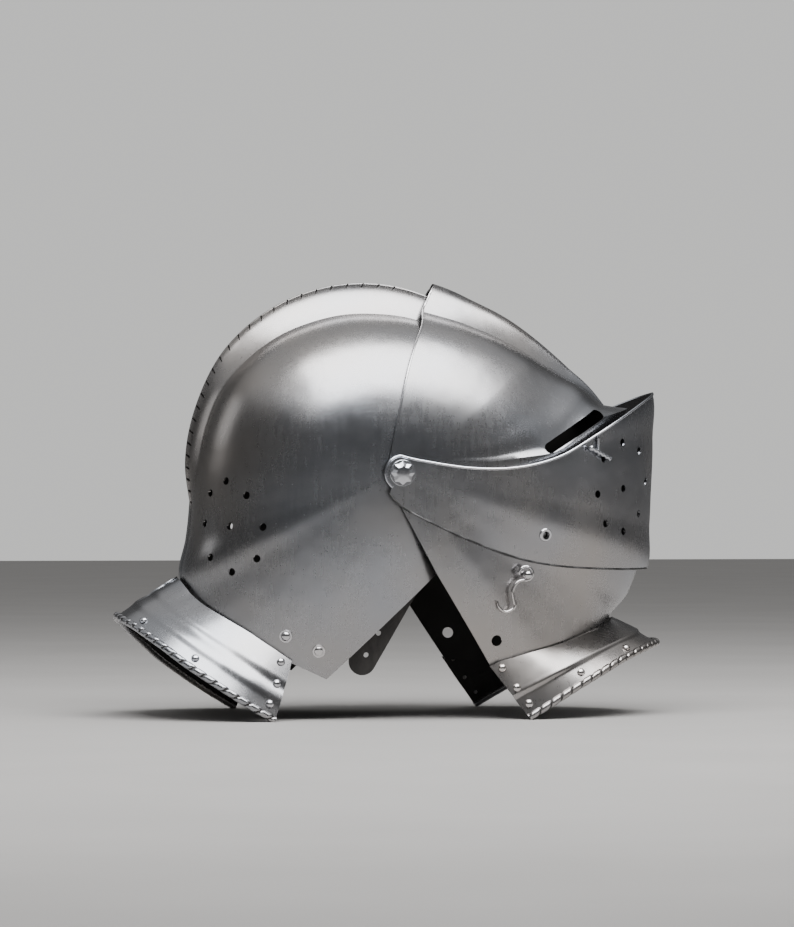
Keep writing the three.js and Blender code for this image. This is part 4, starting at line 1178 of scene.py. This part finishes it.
def cut_to_gorget(bm, front):
    """Cuts off what lies past a gorget plate's end edge or below the ground."""
    turn = -OPEN_DEGREES if front else 0
    top = Vector(side_point(GORGET_END_TOP.angle + turn, GORGET_END_TOP.reach))
    foot = Vector(side_point(GORGET_END_FOOT.angle + turn, GORGET_END_FOOT.reach))
    run = foot - top
    sign = 1 if front else -1
    across = Vector((run.y * -1, 0, run.x)).normalized()
    if across.x * sign > 0:
        across = -across
    planes = [
        (Vector((top.x, 0, top.y)), across),
        (Vector((0, 0, FOOT_LEVEL + 0.02)), Vector((0, 0, -1))),
    ]
    for point, normal in planes:
        geom = list(bm.verts) + list(bm.edges) + list(bm.faces)
        cut = bmesh.ops.bisect_plane(
            bm, geom=geom, plane_co=point, plane_no=normal, clear_outer=True, dist=MERGE
        )
        edges = [item for item in cut["geom_cut"] if isinstance(item, bmesh.types.BMEdge)]
        bmesh.ops.edgeloop_fill(bm, edges=[e for e in edges if e.is_boundary])


def gorget_wall(gorget):
    """The closed wall of a gorget plate."""
    outer, inner = (
        sheet(GORGET_STATIONS, GORGET_SHARES, lambda u, v: gorget.surface(2 * u - 1, v, depth))
        for depth in (0, PLATE)
    )
    paint(inner.faces, INSIDE_AND_SHADE)
    bm = gathered([outer, inner])
    loops = [e for e in bm.edges if e.is_boundary]
    # The rim and end faces take the darkened edge finish, painted shade.
    paint(bmesh.ops.bridge_loops(bm, edges=loops)["faces"], EDGE_SHADE)
    bmesh.ops.recalc_face_normals(bm, faces=bm.faces)
    return bm


def make_gorget(name, gorget, places, body, settings):
    """A gorget plate with its roped rim and its rivets."""
    front = name == "front_gorget"
    wall = gorget_wall(gorget)
    cutters = []
    heads = []
    for side_name, side in SIDES.items():
        for i, place in enumerate(places):
            at = side * place.station
            point = gorget.surface(at, place.share)
            normal = gorget.normal(at, place.share)
            cutters.append(drill(point, normal, RIVET_HOLE, 6, 16))
            heads.append((f"{name}_rivet_{side_name}_{i + 1}", point, normal))
    cut_to_gorget(wall, front)
    wall = combine(wall, gathered(cutters), "DIFFERENCE")

    ends = [2 * i / RIM_POINTS - 1 for i in range(RIM_POINTS + 1)]
    rim, length = path_through([gorget.base(end, 1) for end in ends])
    turns = length * MM / settings.lay
    radius = settings.rope / MM
    depth = settings.rope_depth / MM

    def groove(u, v, out):
        phase = (u * turns - v) % 1
        facing = out.dot(gorget.normal(2 * u - 1, LAST_NORMAL))
        outside = smoothstep(ROPE_BACK, ROPE_FACE, facing)
        return outside * max(0, 1 - abs(phase - 0.5) / ROPE_GROOVE)

    def rope_radius(u, v, out):
        return radius - depth * groove(u, v, out) ** ROPE_EDGE

    rope = tube(rim, rope_radius, ROPE_STEPS, ROPE_SIDES)
    # Faces deep in the grooves take the black finish, painted shade between the turns of the rope.
    middle = [rim(i / 200) for i in range(201)]
    for face in rope.faces:
        centre = face.calc_center_median()
        gap = min((centre - point).length for point in middle)
        if gap < radius - depth / 2:
            face.material_index = INSIDE_AND_SHADE
    cut_to_gorget(rope, front)
    finish_piece(gathered([wall, rope]), name, body, PLATE_FINISH, sharp=40)
    for rivet, point, normal in heads:
        make_rivet(rivet, point, normal, body, GORGET_HEAD)


def strap_hang(side):
    """Where a chin strap hangs: its length, its rivet, and its own axes as a matrix."""
    top = Vector((STRAP_TOP.x, side * STRAP_TOP.y, STRAP_TOP.z))
    end = Vector((STRAP_END.x, side * STRAP_END.y, STRAP_END.z))
    along = (end - top).normalized()
    out = Vector((0, side, 0))
    normal = (out - along * out.dot(along)).normalized()
    turn = Matrix((along, normal.cross(along), normal)).transposed().to_4x4()
    length = (end - top).length if side == RIGHT else SHORT_STRAP
    rivet = top + along * STRAP_RIVET_INSET
    return Hang(length, rivet, normal, Matrix.Translation(top) @ turn)


def make_rivet(name, point, normal, body, head):
    """A hammered domed rivet, on a washer if it has one."""
    base = UNDER_HEAD
    profile = [(0, -PLATE), (RIVET_SHANK, -PLATE), (RIVET_SHANK, base)]
    if head.washer:
        rim = head.washer - 0.15
        profile += [(rim, base), (head.washer, base + 0.15), (rim, base + WASHER)]
        base += WASHER
    profile += dome_profile(head.radius, base, head.rise)
    bm = lathe(profile, 28)
    place_along(bm, point, normal)
    finish_piece(bm, name, body)


# Operators


class HELMET_OT_finishes(bpy.types.Operator):
    """Makes the steel and leather finishes"""

    bl_idname = "helmet.finishes"
    bl_label = "Finishes"

    def execute(self, context):
        make_finishes(context.scene.helmet_finish)
        return {"FINISHED"}


class HELMET_OT_skull(bpy.types.Operator):
    """Builds the skull with its notched comb and breaths"""

    bl_idname = "helmet.skull"
    bl_label = "Skull"

    def execute(self, context):
        settings = context.scene.helmet_plates
        cutters = dome_drills(SKULL_DOME, SKULL_BREATHS, settings.breath / MM)
        cutters += dome_drills(SKULL_DOME, [CHEEK_RIVET, CLOSING_STUD], RIVET_HOLE)
        cutters += comb_notches(settings)
        cutters.append(pivot_drill())
        for side in SIDES.values():
            hang = strap_hang(side)
            cutters.append(drill(hang.rivet, hang.normal, RIVET_SHANK + CLEARANCE, sides=20))
        make_plate(SKULL_DOME, skull_outline(), cutters, "skull", settings)
        return {"FINISHED"}


class HELMET_OT_visor(bpy.types.Operator):
    """Builds the visor with its sight slits"""

    bl_idname = "helmet.visor"
    bl_label = "Visor"

    def execute(self, context):
        settings = context.scene.helmet_plates
        # The walls of the slit take the black finish, painted shade.
        cutters = [side_block(slit_outline(), INSIDE_AND_SHADE), pivot_drill()]
        rear = curve_points(list(reversed(VISOR_REAR_EDGE)))
        outline = [(p.x + BEAD_INSET, p.y) for p in rear][VISOR_BEAD_START:]
        # The bead along the rear edge takes the bright finish, a painted highlight.
        bead = edge_bead(VISOR_DOME, outline, THIN_BEAD * settings.bead / MM)
        make_plate(VISOR_DOME, visor_outline(), cutters, "visor", settings, [bead])
        return {"FINISHED"}


class HELMET_OT_bevors(bpy.types.Operator):
    """Builds the upper and the lower bevor"""

    bl_idname = "helmet.bevors"
    bl_label = "Bevors"

    def execute(self, context):
        settings = context.scene.helmet_plates
        cutters = dome_drills(UPPER_BEVOR_DOME, BEVOR_BREATHS, settings.breath / MM)
        point, normal = UPPER_BEVOR_DOME.at(EYELET.x, EYELET.z, RIGHT)
        cutters += [drill(point, normal, EYELET_HOLE), pivot_drill()]
        top = arc(0, 0, *UPPER_BEVOR_BEAD)
        top += [(p.x, p.y - BEAD_INSET) for p in curve_points(UPPER_BEVOR_TOP)]
        low = curve_outline(list(reversed(UPPER_BEVOR_BOTTOM)))
        beads = [
            # The bead along the top takes the bright finish, a painted highlight.
            edge_bead(UPPER_BEVOR_DOME, top, settings.bead / MM),
            # The bead along the lower edge takes the darkened finish, a painted shadow line over
            # the lower bevor.
            edge_bead(UPPER_BEVOR_DOME, low, THIN_BEAD * settings.bead / MM, EDGE_SHADE),
        ]
        make_plate(
            UPPER_BEVOR_DOME, upper_bevor_outline(), cutters, "upper_bevor", settings, beads
        )
        hole = Point(*side_point(*CLOSING_HOLE))
        cutters = dome_drills(LOWER_BEVOR_DOME, [hole], CLOSING_HOLE_RADIUS) + [pivot_drill()]
        make_plate(LOWER_BEVOR_DOME, lower_bevor_outline(), cutters, "lower_bevor", settings)
        return {"FINISHED"}


class HELMET_OT_gorgets(bpy.types.Operator):
    """Builds the two gorget plates with their roped rims and rivets"""

    bl_idname = "helmet.gorgets"
    bl_label = "Gorget Plates"

    def execute(self, context):
        rear = Gorget(REAR_GORGET, SKULL_DOME, REAR_RIDGES)
        front = Gorget(FRONT_GORGET, LOWER_BEVOR_DOME, FRONT_RIDGES)
        settings = context.scene.helmet_plates
        make_gorget("rear_gorget", rear, REAR_RIVETS, "skull", settings)
        make_gorget("front_gorget", front, FRONT_RIVETS, "lower_bevor", settings)
        return {"FINISHED"}


class HELMET_OT_fittings(bpy.types.Operator):
    """Builds the pivot bolts, the cheek rivets and the closing studs"""

    bl_idname = "helmet.fittings"
    bl_label = "Bolts and Studs"

    def execute(self, context):
        for name, side in SIDES.items():
            for kind, place, head in (
                ("cheek_rivet", CHEEK_RIVET, CHEEK_HEAD),
                ("closing_stud", CLOSING_STUD, STUD_HEAD),
            ):
                point, normal = SKULL_DOME.at(*place, side)
                make_rivet(f"{kind}_{name}", point, normal, "skull", head)
            self.bolt(name, side)
        return {"FINISHED"}

    def bolt(self, name, side):
        """A round head with eight facets that rise to a point, on a shank with a nut inside."""
        outside = UPPER_BEVOR_DOME.half_width + CLEARANCE
        inside = SKULL_DOME.half_width - PLATE - 2 * CLEARANCE
        profile = [(ring.radius, inside + ring.height) for ring in NUT]
        profile += [(BOLT_SHANK, inside), (BOLT_SHANK, outside)]
        profile += [(ring.radius, outside + ring.height) for ring in BOLT_HEAD]
        disc = lathe(profile, 48)
        star = lathe(STAR, 2 * STAR_POINTS)
        bmesh.ops.translate(star, vec=(0, 0, outside), verts=star.verts)
        pinched = [vert for vert in star.verts if self.between_points(vert.co)]
        bmesh.ops.scale(star, vec=(STAR_PINCH, STAR_PINCH, 1), verts=pinched)
        bm = gathered([disc, star])
        place_along(bm, Vector((0, 0, 0)), Vector((0, side, 0)))
        finish_piece(bm, f"pivot_bolt_{name}", "skull", sharp=14)

    def between_points(self, place):
        """Whether a vertex of the star lies half way between two of its points."""
        pitch = 360 / STAR_POINTS
        turn = math.degrees(math.atan2(place.y, place.x)) % pitch
        return pitch / 4 < turn < pitch * 3 / 4


class HELMET_OT_hook(bpy.types.Operator):
    """Builds the hook, its rivet and the eyelet that it fastens to"""

    bl_idname = "helmet.hook"
    bl_label = "Hook and Eyelet"

    def execute(self, context):
        surface = LOWER_BEVOR_DOME.half_width_at(*HOOK)
        level = RIGHT * (surface + HOOK_STAND_OFF)
        eye = arc(HOOK.x + HOOK_EYE.x, HOOK.z + HOOK_EYE.z, *HOOK_EYE_ARC)
        shank = [(HOOK.x + p.x, HOOK.z + p.z) for p in HOOK_SHANK]
        path, _ = path_through([(x, level, z) for x, z in eye + shank])
        taper = Smooth(*zip(*HOOK_TAPER))
        bm = tube(path, lambda u, v, out: taper(u), 150, 14)
        finish_piece(bm, "hook", "hook", sharp=60)

        under = HOOK_STAND_OFF + HOOK_RIVET_GAP
        profile = HOOK_RIVET_FOOT + [(RIVET_SHANK, under)]
        profile += dome_profile(HOOK_RIVET.radius, under, HOOK_RIVET.rise)
        rivet = lathe(profile, 28)
        place_along(rivet, Vector((HOOK.x, -surface, HOOK.z)), Vector((0, RIGHT, 0)))
        finish_piece(rivet, "hook_rivet", "lower_bevor")

        point, normal = UPPER_BEVOR_DOME.at(*EYELET, RIGHT)
        ring = lathe(EYELET_RING + EYELET_RING[:1], 36)
        place_along(ring, point, normal)
        finish_piece(ring, "eyelet", "upper_bevor")
        return {"FINISHED"}


class HELMET_OT_peg(bpy.types.Operator):
    """Builds the prop peg with its twisted bar at the top edge of the upper bevor"""

    bl_idname = "helmet.peg"
    bl_label = "Prop Peg"

    def execute(self, context):
        spine = []
        for i in range(7):
            z = PEG_TOP + (PEG_FOOT - PEG_PAST_BAR - PEG_TOP) * i / 6
            point, normal = UPPER_BEVOR_DOME.at(PEG_X, z, RIGHT)
            spine.append(tuple(point + normal * PEG_STEM_OUT))
        path, _ = path_through(spine)
        width = Smooth(*zip(*PEG_STEM))
        stem = tube(path, lambda u, v, out: width(u), 24, 12)

        point, normal = UPPER_BEVOR_DOME.at(PEG_X + 1, PEG_FOOT, RIGHT)
        centre = point + normal * PEG_BAR_OUT
        tilt = math.radians(PEG_TILT)
        flat = Vector((math.cos(tilt), 0, -math.sin(tilt)))
        lean = (flat - normal * flat.dot(normal)).normalized()

        def bar_path(u):
            return centre + lean * (2 * u - 1) * PEG_BAR_HALF

        def twist(u, v, out):
            return PEG_BAR + PEG_TWIST_DEPTH * math.cos(2 * (v * 2 * math.pi + u * PEG_TWIST))

        bar = tube(bar_path, twist, 90, 16)
        ball = bmesh.new()
        bmesh.ops.create_uvsphere(ball, u_segments=20, v_segments=14, radius=PEG_BALL)
        end = centre - lean * (PEG_BAR_HALF + PEG_BALL_OUT)
        bmesh.ops.translate(ball, vec=end, verts=ball.verts)
        bm = gathered([stem, bar, ball])
        finish_piece(bm, "prop_peg", "upper_bevor", sharp=50)
        return {"FINISHED"}


class HELMET_OT_straps(bpy.types.Operator):
    """Builds the two leather chin straps, their rivets and the buckle"""

    bl_idname = "helmet.straps"
    bl_label = "Chin Straps"

    def execute(self, context):
        for name, side in SIDES.items():
            hang = strap_hang(side)
            self.strap(name, side, hang)
            self.rivet(name, side, hang)
        self.buckle(strap_hang(LEFT))
        return {"FINISHED"}

    def strap(self, name, side, hang):
        half = STRAP_HALF_WIDTH
        outline = [(0, -half), (hang.length - half, -half)]
        if side == RIGHT:
            outline += arc(hang.length - half, 0, half, -90, 90, 24)[1:]
        else:
            outline += [(hang.length, -half), (hang.length, half)]
        outline.append((0, half))
        bm = bmesh.new()
        face = bm.faces.new([bm.verts.new((x, y, -STRAP_THICK / 2)) for x, y in outline])
        thicken(bm, [face], (0, 0, STRAP_THICK))
        soften(bm, STRAP_ROUND)
        up = Vector((0, 0, 1))
        holes = [drill(Vector((STRAP_RIVET_INSET, 0, 0)), up, RIVET_SHANK + CLEARANCE, 5, 20)]
        if side == RIGHT:
            places = [Vector((hang.length - at, 0, 0)) for at in STRAP_HOLES]
            holes += [drill(at, up, STRAP_HOLE, 5, 24) for at in places]
        bm = combine(bm, gathered(holes), "DIFFERENCE")
        bmesh.ops.transform(bm, matrix=hang.matrix, verts=bm.verts)
        paint(bm.faces, OUTER)
        finish_piece(bm, f"chin_strap_{name}", "skull", ("leather",), sharp=50)

    def rivet(self, name, side, hang):
        """A domed head inside the strap, on a shank that ends flush with the skull."""
        wall, _ = SKULL_DOME.at(hang.rivet.x, hang.rivet.z, side)
        flush = abs(wall.y) - abs(hang.rivet.y) - STRAP_HEAD_SUNK
        inside = -STRAP_THICK / 2 - CLEARANCE
        profile = list(reversed(dome_profile(STRAP_HEAD.radius, inside, -STRAP_HEAD.rise)))
        profile += [(RIVET_SHANK, inside), (RIVET_SHANK, flush), (0, flush)]
        bm = lathe(profile, 28)
        place_along(bm, hang.rivet, hang.normal)
        finish_piece(bm, f"strap_rivet_{name}", "skull")

    def buckle(self, hang):
        """A square frame of rounded bar at the end of the short strap."""
        bm = bmesh.new()
        middle = Vector((SHORT_STRAP + CLEARANCE + BUCKLE_HEIGHT / 2, 0, -BUCKLE_BAR / 2))
        bmesh.ops.create_grid(bm, x_segments=1, y_segments=1, size=0.5)
        bmesh.ops.scale(bm, vec=(BUCKLE_HEIGHT, BUCKLE_WIDTH, 1), verts=bm.verts)
        bmesh.ops.translate(bm, vec=middle, verts=bm.verts)
        window = list(bm.faces)
        bmesh.ops.inset_individual(bm, faces=window, thickness=BUCKLE_BAR, use_even_offset=True)
        bmesh.ops.delete(bm, geom=window, context="FACES")
        thicken(bm, list(bm.faces), (0, 0, BUCKLE_BAR))
        soften(bm, BUCKLE_ROUND)
        bmesh.ops.transform(bm, matrix=hang.matrix, verts=bm.verts)
        finish_piece(bm, "strap_buckle", "skull", sharp=50)


class HELMET_OT_stage(bpy.types.Operator):
    """Lays the floor and sets up the lights and the camera"""

    bl_idname = "helmet.stage"
    bl_label = "Stage"

    def execute(self, context):
        self.floor()
        self.lights(context)
        self.camera(context)
        return {"FINISHED"}

    def floor(self):
        bm = bmesh.new()
        bmesh.ops.create_grid(bm, x_segments=1, y_segments=1, size=8)
        made, place, shader = material("Pale Floor", {"Roughness": 0.75})
        base = noise(place, 6, 5).blend(rgba((0.37, 0.36, 0.35)), rgba((0.44, 0.43, 0.42)))
        feed(place, shader, Base_Color=base)
        floor = object_of("floor", mesh_from(bm, "floor"))
        floor.data.materials.append(made)

    def lights(self, context):
        world = bpy.data.worlds.new("Studio")
        context.scene.world = world
        world.use_nodes = True
        tree = world.node_tree
        background = tree.nodes["Background"]
        direction = Wire(tree, tree.nodes.new("ShaderNodeTexCoord").outputs["Generated"])
        height = direction.of("ShaderNodeSeparateXYZ", 2, None, Vector=direction)
        level = height.of(
            "ShaderNodeMapRange", 0, None, Value=height, From_Min=-0.1, From_Max=0.9
        ).ramp((0, 0.12), (0.1, 0.12), (0.3, 0.07), (0.6, 0.09), (0.8, 0.55))
        seen = height.of("ShaderNodeLightPath")
        shown = seen.of(
            "ShaderNodeMix", 2, {"data_type": "RGBA"}, _0=seen, _6=level, _7=(0.7, 0.7, 0.69, 1)
        )
        tree.links.new(shown.socket, background.inputs["Color"])
        background.inputs["Strength"].default_value = 1
        for name, place, size, energy in (
            ("panel", (0.1, -0.62, 1.55), (1.8, 1.3), 60),
            ("front", (2.2, -0.9, 0.9), (0.5, 1.2), 1),
            ("rear", (-1.9, 0.9, 1.0), (0.8, 0.8), 1.8),
        ):
            data = bpy.data.lights.new(name, "AREA")
            data.shape = "RECTANGLE"
            data.size, data.size_y = size
            data.energy = energy
            light = object_of(name, data)
            light.location = place
            aim = Vector((0, 0, 0.16)) - Vector(place)
            light.rotation_euler = aim.to_track_quat("-Z", "Y").to_euler()

    def camera(self, context):
        """The photo's view: its frame and focal length in pixels, and where the pivot lies."""
        azimuth = math.radians(-10)
        distance = 3.0
        drop = 0.02085
        photo_width, photo_height, focal = 794, 927, 4167
        pivot_column, horizon_row = 376.5, 503
        data = bpy.data.cameras.new("camera")
        data.sensor_fit = "VERTICAL"
        data.sensor_height = 36
        data.lens = focal / photo_height * 36
        data.shift_x = (photo_width / 2 - pivot_column) / photo_height
        data.shift_y = (horizon_row - photo_height / 2) / photo_height
        data.clip_end = 50
        camera = object_of("camera", data)
        away = Vector((math.sin(azimuth), -math.cos(azimuth), 0))
        camera.location = PIVOT + away * distance - Vector((0, 0, drop))
        camera.rotation_euler = (math.pi / 2, 0, azimuth)
        context.scene.camera = camera


class HELMET_PT_panel(bpy.types.Panel):
    """The sidebar panel with the helmet's sizes, finishes and operators"""

    bl_idname = "HELMET_PT_panel"
    bl_label = "Close Helmet"
    bl_space_type = "VIEW_3D"
    bl_region_type = "UI"
    bl_category = "Helmet"

    def draw(self, context):
        layout = self.layout
        for settings in (context.scene.helmet_plates, context.scene.helmet_finish):
            box = layout.box()
            for name in settings.bl_rna.properties.keys():
                if name not in {"rna_type", "name"}:
                    box.prop(settings, name)
        for operator in OPERATORS:
            layout.operator(operator.bl_idname)


OPERATORS = (
    HELMET_OT_finishes,
    HELMET_OT_skull,
    HELMET_OT_visor,
    HELMET_OT_bevors,
    HELMET_OT_gorgets,
    HELMET_OT_fittings,
    HELMET_OT_hook,
    HELMET_OT_peg,
    HELMET_OT_straps,
    HELMET_OT_stage,
)
CLASSES = (PlateSettings, FinishSettings, *OPERATORS, HELMET_PT_panel)


def register():
    for cls in CLASSES:
        bpy.utils.register_class(cls)
    bpy.types.Scene.helmet_plates = PointerProperty(type=PlateSettings)
    bpy.types.Scene.helmet_finish = PointerProperty(type=FinishSettings)


def unregister():
    del bpy.types.Scene.helmet_finish
    del bpy.types.Scene.helmet_plates
    for cls in reversed(CLASSES):
        bpy.utils.unregister_class(cls)


def main():
    register()
    bpy.ops.helmet.finishes()
    bpy.ops.helmet.skull()
    bpy.ops.helmet.visor()
    bpy.ops.helmet.bevors()
    bpy.ops.helmet.gorgets()
    bpy.ops.helmet.fittings()
    bpy.ops.helmet.hook()
    bpy.ops.helmet.peg()
    bpy.ops.helmet.straps()
    bpy.ops.helmet.stage()


if __name__ == "__main__":
    main()
